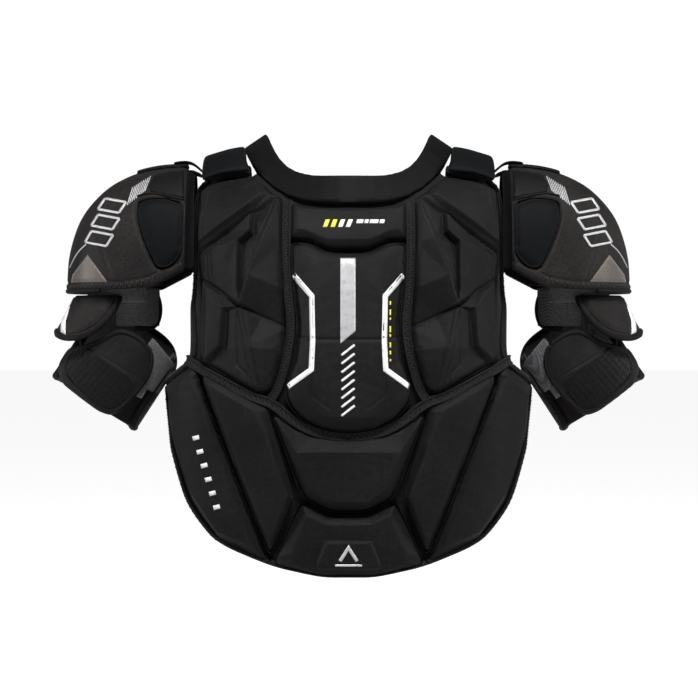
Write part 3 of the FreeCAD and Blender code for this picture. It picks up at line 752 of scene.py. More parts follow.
def laid_path(tree, corners, facing, lift, evened=3):
    """A path over a surface, lift mm above it: (places, outward normals), evened out along it."""
    places, outs = [], []
    for x, z in curve_through(corners):
        place, normal = drop(tree, x, z, facing)
        places.append(place)
        outs.append(normal)
    places, outs = np.array(places), np.array(outs)
    evened_out(places, evened)
    evened_out(outs, evened)
    outs /= np.linalg.norm(outs, axis=1, keepdims=True)
    return places + outs * lift * MM, outs


def frames_along(places, outs):
    """Unit tangents, outward normals and sideways directions of a path."""
    tangent = np.gradient(places, axis=0)
    tangent /= np.maximum(np.linalg.norm(tangent, axis=1, keepdims=True), 1e-9)
    across = np.cross(tangent, outs)
    across /= np.maximum(np.linalg.norm(across, axis=1, keepdims=True), 1e-9)
    return tangent, np.cross(across, tangent), across


def sweep(places, outs, profile, closed=False):
    """(vertices, faces) of a closed profile of (across, up) mm carried along a path."""
    _, up, across = frames_along(places, outs)
    count, sides = len(places), len(profile)
    ring = np.array(profile) * MM
    vertices = places[:, None] + across[:, None] * ring[None, :, :1] + up[:, None] * ring[None, :, 1:]
    vertices = vertices.reshape(-1, 3)
    faces = []
    for i in range(count if closed else count - 1):
        j = (i + 1) % count
        for k in range(sides):
            m = (k + 1) % sides
            faces.append((i * sides + k, i * sides + m, j * sides + m, j * sides + k))
    if not closed:
        faces.append(tuple(range(sides - 1, -1, -1)))
        faces.append(tuple((count - 1) * sides + k for k in range(sides)))
    return vertices, faces


def round_profile(width, height, sides=12):
    """A flattened round section."""
    turns = [2 * math.pi * k / sides for k in range(sides)]
    return [(width / 2 * math.cos(t), height / 2 * math.sin(t)) for t in turns]


def taped_profile(width, height):
    """A seam tape's section: two raised edges with a sunk middle for the stitches."""
    half, low = width / 2, height * 0.55
    upper = [(-half, 0.0), (-half * 0.94, height * 0.75), (-half * 0.78, height),
             (-half * 0.6, height * 0.85), (-half * 0.42, low), (0.0, low * 0.94)]
    mirrored = [(-x, y) for x, y in reversed(upper[:-1])]
    return [(half * 0.9, -height * 0.5), (-half * 0.9, -height * 0.5)] + upper + mirrored


class Gathered:
    """Collects swept parts into one piece."""

    def __init__(self):
        self.parts = []

    def add(self, part):
        self.parts.append(part)

    def build(self, name):
        obj = new_object(name, *joined(self.parts))
        editable = bmesh.new()
        editable.from_mesh(obj.data)
        bmesh.ops.recalc_face_normals(editable, faces=editable.faces)
        editable.to_mesh(obj.data)
        editable.free()
        return obj

    def finish(self, name, material, body, slot):
        finish_piece(self.build(name), material, body, slot)


def thread_stitch(start, end, out, radius):
    """One raised thread between two points, both ends tucked into the cloth."""
    middle = (start + end) / 2 + out * radius * 1.4
    places = np.array([start - out * radius, start * 0.7 + middle * 0.3 + out * radius * 0.4, middle,
                       end * 0.7 + middle * 0.3 + out * radius * 0.4, end - out * radius])
    return sweep(places, np.array([out] * 5), round_profile(2 * radius / MM, 2 * radius / MM, 5))


def stitch_stations(places, outs, spacing):
    """(tangent, outward, sideways, place) at even distances along a path."""
    tangent, up, across = frames_along(places, outs)
    lengths = np.concatenate([[0], np.cumsum(np.linalg.norm(np.diff(places, axis=0), axis=1))]) / MM
    for station in np.arange(spacing / 2, lengths[-1] - spacing / 2, spacing):
        yield [np.array([np.interp(station, lengths, vectors[:, k]) for k in range(3)])
               for vectors in (tangent, up, across, places)]


def ladder_stitches(gathered, places, outs, width, spacing=3.1, lift=0.0):
    """Zigzag cover stitches across a band."""
    for number, (along, out, side, place) in enumerate(stitch_stations(places, outs, spacing)):
        lean = (LADDER_LEAN if number % 2 else -LADDER_LEAN) * MM
        base, reach = place + out * lift * MM, side * (width / 2 * MM) + along * lean
        gathered.add(thread_stitch(base - reach, base + reach, out, LADDER_THREAD * MM))


def running_stitches(gathered, places, outs, lift=0.0):
    """A single row of stitches along a path."""
    for along, out, _, place in stitch_stations(places, outs, RUNNING_SPACING):
        base, reach = place + out * lift * MM, along * (RUNNING_STITCH / 2 * MM)
        gathered.add(thread_stitch(base - reach, base + reach, out, RUNNING_THREAD * MM))


def ribbon(line, width):
    """The closed outline of a flat strip of the given width along a polyline of (x, z)."""
    points = [np.array(p, float) for p in line]
    left, right = [], []
    for i, point in enumerate(points):
        before = point - points[i - 1] if i else points[1] - point
        after = points[i + 1] - point if i < len(points) - 1 else before
        before, after = before / np.linalg.norm(before), after / np.linalg.norm(after)
        normal = np.array([-(before + after)[1], (before + after)[0]])
        normal /= np.linalg.norm(normal)
        reach = width / 2 / max(normal @ np.array([-before[1], before[0]]), 0.5)
        left.append(tuple(point + normal * reach))
        right.append(tuple(point - normal * reach))
    return left + right[::-1]


def film(gathered, tree, outline, facing, lift=0.25, pitch=2.0):
    """A thin closed film with an (x, z) outline, laid over a surface."""
    low, high = np.min(outline, axis=0), np.max(outline, axis=0)
    rim = []
    for a, b in zip(outline, list(outline[1:]) + [outline[0]]):
        pieces = max(int(math.dist(a, b) / pitch), 1)
        rim += [(a[0] + (b[0] - a[0]) * k / pieces, a[1] + (b[1] - a[1]) * k / pieces) for k in range(pieces)]
    grid = [(x, z) for x in np.arange(low[0] + pitch / 2, high[0], pitch)
            for z in np.arange(low[1] + pitch / 2, high[1], pitch)]
    closed = list(outline) + [outline[0]]
    grid = [p for p in grid if polyline_distance(np.array([p]), closed)[0] > pitch * 0.4]
    flat = [Vector(p) for p in rim + grid]
    found, _, faces, _, _, _ = delaunay_2d_cdt(flat, [], [list(range(len(rim)))], 1, 1e-4)
    top, bottom = [], []
    for place in found:
        hit, normal = drop(tree, place.x, place.y, facing)
        top.append(hit + normal * lift * MM)
        bottom.append(hit - normal * FILM_TUCK * MM)
    count = len(found)
    uses = {}
    for face in faces:
        for a, b in zip(face, list(face[1:]) + [face[0]]):
            uses[(a, b)] = True
    border = [(a, b) for a, b in uses if (b, a) not in uses]
    sheet = [tuple(f) for f in faces] + [tuple(count + i for i in reversed(f)) for f in faces]
    gathered.add((top + bottom, sheet + [(b, a, count + a, count + b) for a, b in border]))


def mirrored_line(line, sign):
    return [(sign * x, z) for x, z in line]


def on_both_sides(line):
    return [mirrored_line(line, sign) for _, sign in SIDES]


def across_middle(half):
    """A line from the middle outwards, carried on over the middle to the other side."""
    return mirrored_line(half[:0:-1], -1) + half


def cord(gathered, tree, line, facing, lift, profile, evened=3):
    """A cord or binding laid along a line; gives its path back."""
    places, outs = laid_path(tree, line, facing, lift, evened)
    gathered.add(sweep(places, outs, profile))
    return places, outs


# ================================================================ seams of the vest
SPINE_SEAM = [(64, 391), (65.2, 353), (63, 300), (58.6, 262), (62.5, 233), (73, 195), (82, 184)]
SKIRT_SEAM = [(0, 146.6), (33, 150.4), (56, 162), (80, 183), (97, 187), (127, 203), (157, 219.5),
              (166, 226)]
ARM_EDGE = [(152, 417), (161, 408), (165.5, 398), (167, 345), (166.5, 300), (162.8, 250), (162.8, 232),
            (165, 224), (176, 217.5), (199, 200.5)]
HEM_EDGE = [(0, 2.2), (28, 2.2), (79, 13.5), (138.5, 37.5), (169.5, 76), (190, 143), (200, 185),
            (200.5, 197)]


def banded(name, material, profile, tree, lines, lift, evened, stitch_width, spacing, stitch_lift):
    """A band laid over the back along each line, with its cover stitches as a second piece."""
    band, stitches = Gathered(), Gathered()
    for line in lines:
        path = cord(band, tree, line, BEHIND, lift, profile, evened)
        ladder_stitches(stitches, *path, stitch_width, spacing, stitch_lift)
    band.finish(name, material, "back", "shell_fabric")
    stitches.finish(name + "_stitches", THREAD, "back", "shell_fabric")


def taped_seam(name, tree, lines, width, height, lift):
    banded(name, TAPE, taped_profile(width, height), tree, lines, lift, 3, width * 0.5, 3.1, height * 0.5)


def wrapped_edge(name, tree, lines, width, height, lift):
    banded(name, BINDING, round_profile(width, height, 14), tree, lines, lift, 6, width * 0.42, 3.4,
           height * 0.46)


def build_seams(tree):
    """Seam tape down both sides of the spine and round the skirt, and binding on the open edges."""
    taped_seam("spine_seam_tape", tree, on_both_sides(SPINE_SEAM), 9.5, 3.4, 5.5)
    taped_seam("skirt_seam_tape", tree, [across_middle(SKIRT_SEAM)], 10.5, 3.4, 5.5)
    wrapped_edge("armhole_binding", tree, on_both_sides(ARM_EDGE), 8.6, 5.0, 1.8)
    wrapped_edge("hem_binding", tree, [across_middle(HEM_EDGE)], 6.5, 6.5, 1.5)


CHEVRON = [(57.5, 315.5), (38.2, 293.4), (37.2, 247), (38.6, 217), (63.5, 199)]
YOKE_BARS = (7, 4, 9, 5)                    # widths
SPINE_DASHES = (5, 8, 3, 9, 4, 7, 5, 3)     # lengths, before scaling
WING_MARK = ((-2.4, -0.8), (4.4, 1.0), (5.6, -3.4), (-1.2, -5.2))


def build_prints(back_tree, spine_tree, tail_tree, yoke_tree):
    """The heat-pressed marks: chevrons, a centre stripe with slashes, and plain bars for any wording."""
    white, silver, yellow = Gathered(), Gathered(), Gathered()
    for _, sign in SIDES:
        film(white, spine_tree, ribbon(mirrored_line(CHEVRON, sign), 5.4), BEHIND)
    film(silver, spine_tree, [(-8.4, 333), (7.2, 333), (7.2, 257), (-8.4, 244)], BEHIND)
    for k in range(8):
        base = 239.5 - 9.0 * k
        film(white, spine_tree, ribbon([(-7.2, base - 7.5), (6.2, base + 3.0)], 2.3), BEHIND)
    for k in range(4):
        left = -27 + 8.0 * k
        bar = [(left, 366), (left + 4.6, 366), (left + 7.6, 374), (left + 3, 374)]
        film(yellow if k < 2 else white, yoke_tree, bar, BEHIND)
    for k, width in enumerate(YOKE_BARS):
        left = 8 + sum(YOKE_BARS[:k]) + 1.4 * k
        film(white, yoke_tree, [(left, 370), (left + width, 370), (left + width + 1, 374), (left + 1, 374)],
             BEHIND)
    for k, length in enumerate(SPINE_DASHES):
        top = 288 - 8.6 * k
        film(yellow, spine_tree, ribbon([(43.4, top), (43.4, top - 0.75 * length)], 1.5), BEHIND, pitch=1.5)
    film(silver, tail_tree, ribbon([(-9, 17), (0, 31), (9, 17)], 3.4), BEHIND)
    film(silver, tail_tree, ribbon([(-14, 12.5), (14, 12.5)], 2.2), BEHIND)
    for k in range(6):
        centre = np.array((-162.0 + 4.4 * k, 147.0 - 14.5 * k))
        film(white, back_tree, [tuple(centre + corner) for corner in WING_MARK], BEHIND)
    white.finish("white_prints", WHITE_INK, "back", "shell_fabric")
    silver.finish("silver_prints", SILVER_INK, "back", "shell_fabric")
    yellow.finish("yellow_prints", YELLOW_INK, "back", "shell_fabric")


# ================================================================ shoulder caps
CAP_AXIS = np.array((174.0, 305.0))
CAP_REACH = 132.0
CAP_HALF_DEPTH = 80.0
CAP_SQUARENESS = 2.35
CAP_HEM = ((170, 322), (190, 317), (199, 311), (214, 304), (240, 299.5), (296, 299.5))
CAP_TOP_PANEL = ((176, 399), (184, 401), (212, 406.5), (214, 413), (209, 425), (196, 429), (177, 431))
CAP_EDGE_PANEL = ((279, 339), (296.5, 318), (299, 309.5), (257, 309.5))
CAP_SIDE_SEAM = ((231, 427), (229, 396), (225, 375), (217, 355), (210, 336), (204, 322))
BADGE_BARS = (0, 19, 38)        # how far down the badge each open bar starts


def cap_out(points):
    """The outward direction of a cap's dome."""
    side = np.sign(points[:, 0])
    away_x = np.maximum(np.abs(points[:, 0]) * 1000 - CAP_AXIS[0], 0) / CAP_REACH
    away_z = np.maximum(points[:, 2] * 1000 - CAP_AXIS[1], 0) / CAP_REACH
    away_y = points[:, 1] * 1000 / CAP_HALF_DEPTH
    slope = CAP_SQUARENESS - 1
    out = np.stack([side * away_x ** slope / CAP_REACH,
                    np.sign(away_y) * np.abs(away_y) ** 1.4 / CAP_HALF_DEPTH,
                    away_z ** slope / CAP_REACH], 1)
    return out / np.maximum(np.linalg.norm(out, axis=1, keepdims=True), 1e-12)


def cap_depth(rise, inset):
    """How far the dome's inner edge reaches from the mid-depth plane at a height above its axis."""
    share = min(rise / (CAP_REACH - 3), 1)
    return (CAP_HALF_DEPTH - inset) * (1 - share ** CAP_SQUARENESS) ** (1 / CAP_SQUARENESS)


def hem_height(x):
    return np.interp(x, *zip(*CAP_HEM))


def cap_relief(plan):
    """The cap's sewn panel lines, its hem fold and some cloth unevenness."""
    x, z = plan[:, 0], plan[:, 1]
    height = -0.9 * np.exp(-((z - hem_height(x) - 10.5) / 1.3) ** 2)
    height += groove(plan, [(174, 396), (182, 399), (212, 405), (226, 401)], 1.0, 1.4)
    height += groove(plan, CAP_SIDE_SEAM, 0.3, 1.5)
    height += groove(plan, [(262, 398), (268, 360), (251, 309)], 0.5, 2.0)
    height += 1.6 * np.exp(-(polyline_distance(plan, [(276, 366), (247, 318)]) / 9) ** 2)
    return height + 0.25 * np.sin(x / 8.1 + z / 15.0) * np.sin(z / 9.7 - x / 31.0)


def ring_hit(tree, x, z, turn):
    """Where a level ray towards an upright axis at x meets a surface, from a turn in degrees."""
    heading = Vector((math.cos(math.radians(turn)) * math.copysign(1, x), math.sin(math.radians(turn)), 0))
    start = Vector((x * MM, 0, z * MM)) + heading * RAY_START
    place, normal, _, _ = tree.ray_cast(start, -heading)
    return (place, normal if normal.dot(heading) > 0 else -normal) if place is not None else (None, None)


def hem_path(tree, sign, above, lift):
    """A path round a cap, a fixed height above its hem."""
    places, outs = [], []
    for turn in np.linspace(-86, 86, 90):
        z = 300.0
        for _ in range(3):
            place, normal = ring_hit(tree, sign * 176, z + above, turn)
            if place is None:
                break
            z = hem_height(abs(place.x) / MM)
        if place is not None:
            places.append(place)
            outs.append(normal)
    places, outs = np.array(places), np.array(outs)
    evened_out(places, 4)
    evened_out(outs, 4)
    return places + outs * lift * MM, outs


def emblem_point(down, across):
    """A point of the slanted badge by the cap's outer edge."""
    return 238 + 0.34 * down + 0.96 * across, 395 - 0.94 * down + 0.2 * across


def build_cap(side, sign):
    body = f"cap_{side}"
    shell = cover(f"shoulder_cap_{side}", 2.0)
    subdivided(shell)
    emboss(shell, cap_out, cap_relief, 2.0, 4.0)
    finish_piece(shell, CAP_CLOTH, body, "cap_fabric", f"shoulder_cap_{side}")
    for place in ("rear", "front"):
        node = f"deltoid_pad_{place}_{side}"
        pad = cover(node, 2.6)
        inflate(pad, 5.0, 3.0)
        subdivided(pad)
        points = coords(pad)
        outward = cap_out(points)
        facing = smoothstep(0.3, 0.8, np.einsum("ij,ij->i", normals(pad), outward))
        set_coords(pad, points + (normals(pad) * 2.8 - outward * facing[:, None] * 4.1) * MM)
        emboss(pad, cap_out, None, 0.9, 2.5)
        finish_piece(pad, NEOPRENE, body, "neoprene", node)
    plain_cover(f"cap_foam_{side}", LINING, body, "foam", 3.0, rounds=6)
    plain_cover(f"cap_strap_{side}", COLLAR_KNIT, body, "elastic", 1.1)

    tree = surface_tree(shell, pad)
    cap_tree = surface_tree(shell)
    trim, stitches, silver, patches, black = (Gathered() for _ in range(5))
    trim.add(sweep(*hem_path(tree, sign, 1.5, 0.6), round_profile(5.5, 5.0)))
    ladder_stitches(stitches, *hem_path(tree, sign, 6.0, 0.3), 4.6, spacing=3.0)
    for facing in (BEHIND, AHEAD):
        film(black, cap_tree, mirrored_line(CAP_TOP_PANEL, sign), facing, 0.5)
        welt = mirrored_line([(176, 397.5), (183, 400), (212, 406), (226, 402)], sign)
        cord(trim, cap_tree, welt, facing, 0.4, round_profile(2.2, 1.8, 8))
        for k in range(9):
            high = 424 - 1.0 * k
            low = ((213 + 2.3 * k, high - 0.5 * k), (218 + 2.3 * k, high - 17 - 0.9 * k))
            film(silver, cap_tree, ribbon(mirrored_line(low, sign), 0.8), facing, 0.45, pitch=1.2)
        for base in BADGE_BARS:
            corners = [emblem_point(base, 0), emblem_point(base, 25), emblem_point(base + 13, 28),
                       emblem_point(base + 13, 3)]
            for a, b in zip(corners, corners[1:] + corners[:1]):
                film(silver, cap_tree, ribbon(mirrored_line([a, b], sign), 2.4), facing, 0.8, pitch=1.5)
        film(patches, cap_tree, mirrored_line(CAP_EDGE_PANEL, sign), facing, 0.6)
        pipe = mirrored_line([(281, 350), (291, 342), (300.5, 326)], sign)
        cord(silver, cap_tree, pipe, facing, 0.5, round_profile(1.5, 1.5, 8), evened=1)
    trim.finish(f"cap_trim_{side}", BINDING, body, "cap_fabric")
    stitches.finish(f"cap_stitches_{side}", THREAD, body, "cap_fabric")
    silver.finish(f"cap_silver_{side}", SILVER_INK, body, "cap_fabric")
    patches.finish(f"cap_facet_{side}", SILVER_CLOTH, body, "cap_fabric")
    black.finish(f"cap_top_panel_{side}", COLLAR_KNIT, body, "neoprene")


# ================================================================ arm pieces
CUFF_CENTRE = np.array((252.5, 2.0, 217.0))
CUFF_TILT = math.radians(33)
CUFF_E_S = np.array((math.cos(CUFF_TILT), 0, math.sin(CUFF_TILT)))
CUFF_E_A = np.array((math.sin(CUFF_TILT), 0, -math.cos(CUFF_TILT)))
CUFF_HALF_S, CUFF_HALF_Y = 51.0, 44.0
CUFF_START, CUFF_END = -17.0, 205.0         # degrees round the cuff's axis
CUFF_TOP_EDGE = ((-51, -45.5, -33, -20), (-31, -42.5, -51.5, -53.5))
CUFF_LOW_EDGE = 43.5
GUARD_AXIS_X, GUARD_LEAN = 0.2455, -0.012   # metres, and the upward share of its outward direction


def cuff_place(s, y, a, sign):
    """A point from the cuff's own lateral, front-back and lengthwise sizes (mm)."""
    point = CUFF_CENTRE + CUFF_E_S * s + np.array((0, y, 0)) + CUFF_E_A * a
    return point * (sign, 1, 1) * MM


def oval(turn, half_s, half_y, exponent=2.2):
    """A superellipse point at a turn in degrees."""
    c, s = math.cos(math.radians(turn)), math.sin(math.radians(turn))
    r = (abs(c / half_s) ** exponent + abs(s / half_y) ** exponent) ** (-1 / exponent)
    return r * c, r * s


def guard_out(points):
    """The outward direction round the biceps guard's upright axis."""
    across = points[:, 0] - np.sign(points[:, 0]) * GUARD_AXIS_X
    out = np.stack([across, points[:, 1], np.full(len(points), GUARD_LEAN)], 1)
    return out / np.maximum(np.linalg.norm(out, axis=1, keepdims=True), 1e-9)


def cuff_out(points):
    """The outward direction round the cuff's tilted axis."""
    sign = np.sign(points[:, :1])
    place = points * np.hstack([sign, np.ones((len(points), 2))]) - CUFF_CENTRE * MM
    radial = place - np.outer(place @ CUFF_E_A, CUFF_E_A)
    radial /= np.maximum(np.linalg.norm(radial, axis=1, keepdims=True), 1e-9)
    return radial * np.hstack([sign, np.ones((len(points), 2))])


GUARD_OUTLINE = ((241, 300), (243.5, 286), (252.5, 270), (265, 257.5), (280, 249), (300, 245), (318, 249.5),
                 (325, 257), (316, 279), (303, 300))
GUARD_RIM = ((244.5, 294), (247, 286), (255.5, 272.5), (267.5, 260.5), (281, 252.3), (300, 248.5),
             (315, 252.5), (318, 258))
GUARD_STITCHING = ((252, 294), (254, 287), (261.5, 275.5), (272, 265.5), (284, 258.7), (300, 255.5),
                   (312, 258.5))
GUARD_STRIPE = ((299, 294), (303.5, 294), (310, 268), (309.5, 256), (303.5, 253.5), (304.5, 268))
FLAP_RIM = ((221, 247.5), (212, 235), (211.5, 223), (216.5, 208), (230, 190.5), (245.5, 174.5), (254, 170),
            (266, 173.5), (285, 188.5), (304, 205), (306, 219), (298, 235), (291, 239), (279, 241),
            (262, 248.5), (249.5, 257.5), (236, 256), (221, 247.5))
SLEEVE_LIP = ((209, -10, 298), (206, -11, 291), (204.5, -12, 282), (205.5, -12, 272), (208.5, -16, 264.5),
              (213, -24, 261), (221, -33, 260), (230, -38, 260))


def guard_relief(plan):
    """The guard's raised middle inside a sewn margin."""
    edge = polyline_distance(plan, GUARD_OUTLINE)
    return 2.2 * smoothstep(7, 15, edge) - 0.7 * np.exp(-((edge - 8) / 1.0) ** 2)


def flap_relief(plan):
    """The flap: bound edge, elastic field and a fold line where the hook tape starts."""
    x, z = plan[:, 0], plan[:, 1]
    crease = polyline_distance(plan, [(222, 205), (284, 243)])
    return -0.7 * np.exp(-(crease / 1.2) ** 2) + 0.35 * np.sin(x / 5.0) * np.sin(z / 7.0)


def fuzzy(plan):
    """Uneven loops of the hook tape."""
    x, z = plan[:, 0], plan[:, 1]
    fine = np.sin(x * 2.1 + np.sin(z * 0.9) * 2) * np.sin(z * 2.3 + np.sin(x * 0.7) * 2)
    return 0.35 * fine + 0.3 * np.sin(x * 0.8) * np.sin(z * 0.7)


def build_guard(side, sign):
    body = f"guard_{side}"
    shell = cover(f"bicep_guard_{side}", 1.7)
    subdivided(shell)
    emboss(shell, guard_out, guard_relief, 1.5, 4.0)
    finish_piece(shell, CAP_CLOTH, body, "cap_fabric", f"bicep_guard_{side}")
    sleeve = cover(f"bicep_liner_{side}", 1.1, rounds=3)
    points = coords(sleeve)
    points[:, 2] += 9 * MM * smoothstep(284, 262, points[:, 2] / MM)
    set_coords(sleeve, points)
    finish_piece(sleeve, GREY_MESH, body, "grey_mesh", f"bicep_liner_{side}")
    levels = ((305, -0.4), (297, 0), (288, 0.3), (279, 0.4), (270, 0.2), (262.5, -0.4))
    mesh = sheet(f"bicep_mesh_{side}", oval_rows(236, 31, 38, levels, np.linspace(196, 292, 34), sign), 1.8)
    finish_piece(mesh, GREY_MESH, body, "grey_mesh")

    tree = surface_tree(shell)
    edge, stitches, stripe = Gathered(), Gathered(), Gathered()
    for facing in (BEHIND, AHEAD):
        cord(edge, tree, mirrored_line(GUARD_RIM, sign), facing, 0.2, round_profile(6.0, 3.6))
        running_stitches(stitches, *laid_path(tree, mirrored_line(GUARD_STITCHING, sign), facing, 0.1))
        film(stripe, tree, mirrored_line(GUARD_STRIPE, sign), facing, 0.6)
    edge.finish(f"guard_binding_{side}", BINDING, body, "cap_fabric")
    stitches.finish(f"guard_stitches_{side}", THREAD, body, "cap_fabric")
    stripe.finish(f"guard_stripe_{side}", WHITE_INK, body, "cap_fabric")
    lip = Gathered()
    places = curve_through([(sign * x, y, z) for x, y, z in SLEEVE_LIP]) * MM
    outs = np.tile((-sign, -0.6, 0.0), (len(places), 1))
    lip.add(sweep(places, outs, round_profile(5.5, 6.0)))
    lip.finish(f"bicep_liner_binding_{side}", BINDING, body, "grey_mesh")


def build_cuff(side, sign):
    body, flap_body = f"cuff_{side}", f"flap_{side}"
    pad = cover(f"cuff_pad_{side}", 1.9)
    emboss(pad, cuff_out, None, 1.0, 3.0)
    finish_piece(pad, SHELL, body, "shell_fabric", f"cuff_pad_{side}")
    plain_cover(f"cuff_liner_{side}", GREY_MESH, body, "grey_mesh", 1.1)
    plain_cover(f"cuff_elastic_{side}", BROWN_CLOTH, body, "elastic", 0.9)

    loop = []
    for turn in np.linspace(CUFF_START, CUFF_END, 60):
        s, y = oval(turn, CUFF_HALF_S, CUFF_HALF_Y)
        top = np.interp(s, *CUFF_TOP_EDGE)
        loop.append(cuff_place(s, y, top, sign))
    loop += [cuff_place(s, y, a, sign) for a in np.linspace(top + 4, 41, 14)]
    for turn in np.linspace(CUFF_END, CUFF_START, 60):
        loop.append(cuff_place(*oval(turn, CUFF_HALF_S, CUFF_HALF_Y), CUFF_LOW_EDGE, sign))
    s, y = oval(CUFF_START, CUFF_HALF_S, CUFF_HALF_Y)
    loop += [cuff_place(s, y, a, sign) for a in np.linspace(41, -50, 16)]
    loop = np.array(loop)
    for _ in range(14):
        loop = loop * 0.5 + (np.roll(loop, 1, 0) + np.roll(loop, -1, 0)) * 0.25
    binding = Gathered()
    binding.add(sweep(loop, cuff_out(loop), round_profile(8.0, 9.5), closed=True))
    binding.finish(f"cuff_binding_{side}", BINDING, body, "shell_fabric")

    flap = cover(f"cuff_flap_{side}", 1.9)
    inflate(flap, 3.0, 2.0)
    subdivided(flap)
    emboss(flap, cuff_out, flap_relief, 2.5, 5.0)
    finish_piece(flap, ELASTIC, flap_body, "elastic", f"cuff_flap_{side}")
    patch = cover(f"hook_patch_{side}", 0.8, rounds=2)
    emboss(patch, cuff_out, fuzzy, 0.3, 2.0)
    points = coords(patch)
    set_coords(patch, points + cuff_out(points) * 0.4 * MM)
    finish_piece(patch, HOOK, flap_body, "hook_tape", f"hook_patch_{side}")
    tree = surface_tree(flap)
    edge, stitches = Gathered(), Gathered()
    path = cord(edge, tree, mirrored_line(FLAP_RIM, sign), BEHIND, 0.3, round_profile(5.6, 3.8))
    running_stitches(stitches, *path, lift=1.8)
    edge.finish(f"flap_binding_{side}", BINDING, flap_body, "elastic")
    stitches.finish(f"flap_stitches_{side}", THREAD, flap_body, "elastic")


# ================================================================ collar, shoulders and straps
def build_collar():
    """The neck band, one length of soft cloth over the place where the front panel hinges."""
    rear, front = node_parts("collar_back"), node_parts("collar_front")
    points = front[0]
    cut = points[:, 1] < 0.0465
    points[cut, 1] -= 0.0045
    band = even_mesh("collar_cover", [rear, (points, front[1])], 1.8, 5)
    subdivided(band)
    blended(band, COLLAR_KNIT, "neoprene", "back", "front", (0, 0.030, 0.44), (0, 0.060, 0.44),
            "collar_back", "collar_front")


def sheet(name, rows, thickness):
    """A thin closed sheet through rows of points in millimetres, thickened to both sides, then subdivided."""
    grid = np.array(rows, float) * MM
    across, along = grid.shape[:2]
    du, dv = np.gradient(grid, axis=0), np.gradient(grid, axis=1)
    out = np.cross(du, dv)
    out /= np.maximum(np.linalg.norm(out, axis=2, keepdims=True), 1e-12)
    half = out * thickness / 2 * MM
    flat = (grid + half).reshape(-1, 3).tolist() + (grid - half).reshape(-1, 3).tolist()
    count = across * along
    faces = []
    for i in range(across - 1):
        for j in range(along - 1):
            a, b, c, d = i * along + j, (i + 1) * along + j, (i + 1) * along + j + 1, i * along + j + 1
            faces += [(a, b, c, d), (count + d, count + c, count + b, count + a)]
    rim = [i * along for i in range(across)] + [(across - 1) * along + j for j in range(1, along)]
    rim += [i * along + along - 1 for i in range(across - 2, -1, -1)] + list(range(along - 2, 0, -1))
    faces += [(rim[k], rim[(k + 1) % len(rim)], count + rim[(k + 1) % len(rim)], count + rim[k])
              for k in range(len(rim))]
    gathered = Gathered()
    gathered.add((flat, faces))
    obj = gathered.build(name)
    subdivided(obj)
    return obj


def build_shoulder(side, sign):
    """The padded arch over the shoulder, and the webbing below it that carries the front panel."""
    node = f"clavicle_pad_{side}"
    pad = cover(node, 2.6, rounds=8)
    inflate(pad, 5.0, 3.0)
    points = coords(pad)
    inner = smoothstep(132, 117, np.abs(points[:, 0]) / MM)
    points[:, 0] -= sign * inner * (5 + 6 * smoothstep(446, 430, points[:, 2] / MM)) * MM
    set_coords(pad, points)
    subdivided(pad)
    finish_piece(pad, NEOPRENE, "back", "neoprene", node)
    node = f"shoulder_web_{side}"
    points, faces = node_parts(node)
    front = points[:, 1] > 0.030
    points[front] += (0, 0.016, -0.0075)
    web = even_mesh(node + "_cover", [(points, faces)], 1.1, 3)
    blended(web, TAPE, "shell_fabric", "back", "front", (0, 0.034, 0.44), (0, 0.052, 0.44), node)
    rows = [[(sign * x, y, z) for y in np.linspace(-19, 19, 9)] for x, z in
            ((150, 424.5), (157, 429.3), (163, 435), (168.5, 439.5), (174, 441.2), (182, 441),
             (190, 439.6))]
    hinge = sheet(f"shoulder_strap_{side}", rows, 2.2)
    blended(hinge, COLLAR_KNIT, "elastic", "back", f"cap_{side}", (sign * 0.163, 0, 0.438),
            (sign * 0.179, 0, 0.438))
    rows = [[(sign * x, y, z) for y in np.linspace(-24, 24, 9)] for x, z in
            ((159.5, 426.5), (164, 428.5), (168.5, 430), (172, 431))]
    padding = sheet(f"shoulder_strap_padding_{side}", rows, 3.2)
    finish_piece(padding, NEOPRENE, "back", "neoprene")
    rows = []
    rises = np.linspace(18, 127, 26)
    for x, inset in ((166, 30), (169, 16), (173, 7), (177, 4.5), (181, 4)):
        rows.append([(sign * x, -cap_depth(rise, inset), CAP_AXIS[1] + rise) for rise in rises])
    for facing, place in ((1, "rear"), (-1, "front")):
        turned = [[(x, y * facing, z) for x, y, z in row] for row in rows]
        flange = sheet(f"cap_flange_{place}_{side}", turned, 2.0)
        finish_piece(flange, NEOPRENE, f"cap_{side}", "neoprene")


def build_side_strap(side, sign):
    """The elastic from the back wing round the side, its gripping tab, and the field the tab sits on."""
    body = f"strap_{side}"
    plain_cover(f"rib_strap_{side}", BROWN_CLOTH, body, "elastic", 0.9)
    plain_cover(f"strap_tab_{side}", HOOK, body, "hook_tape", 0.8)
    plain_cover(f"loop_patch_{side}", HOOK, "front", "hook_tape", 0.6, rounds=2)
    rows = [[(sign * x, y, z) for z in np.linspace(160, 201, 9)] for x, y in
            ((181, -24), (184, -18.5), (185.7, -13), (186.2, -8), (186, -3), (185.8, 2))]
    root = sheet(f"strap_root_{side}", rows, 2.8)
    blended(root, BROWN_CLOTH, "elastic", "back", body, (sign * 0.186, -0.013, 0.18),
            (sign * 0.186, -0.006, 0.18))


def oval_rows(centre_x, half_x, half_y, levels, turns, sign):
    """Rows of points round an upright sleeve: levels are (z, growth) and turns are in degrees."""
    rows = []
    for z, growth in levels:
        ring = [oval(turn, half_x + growth, half_y + growth) for turn in turns]
        rows.append([(sign * (centre_x + x), y, z) for x, y in ring])
    return rows


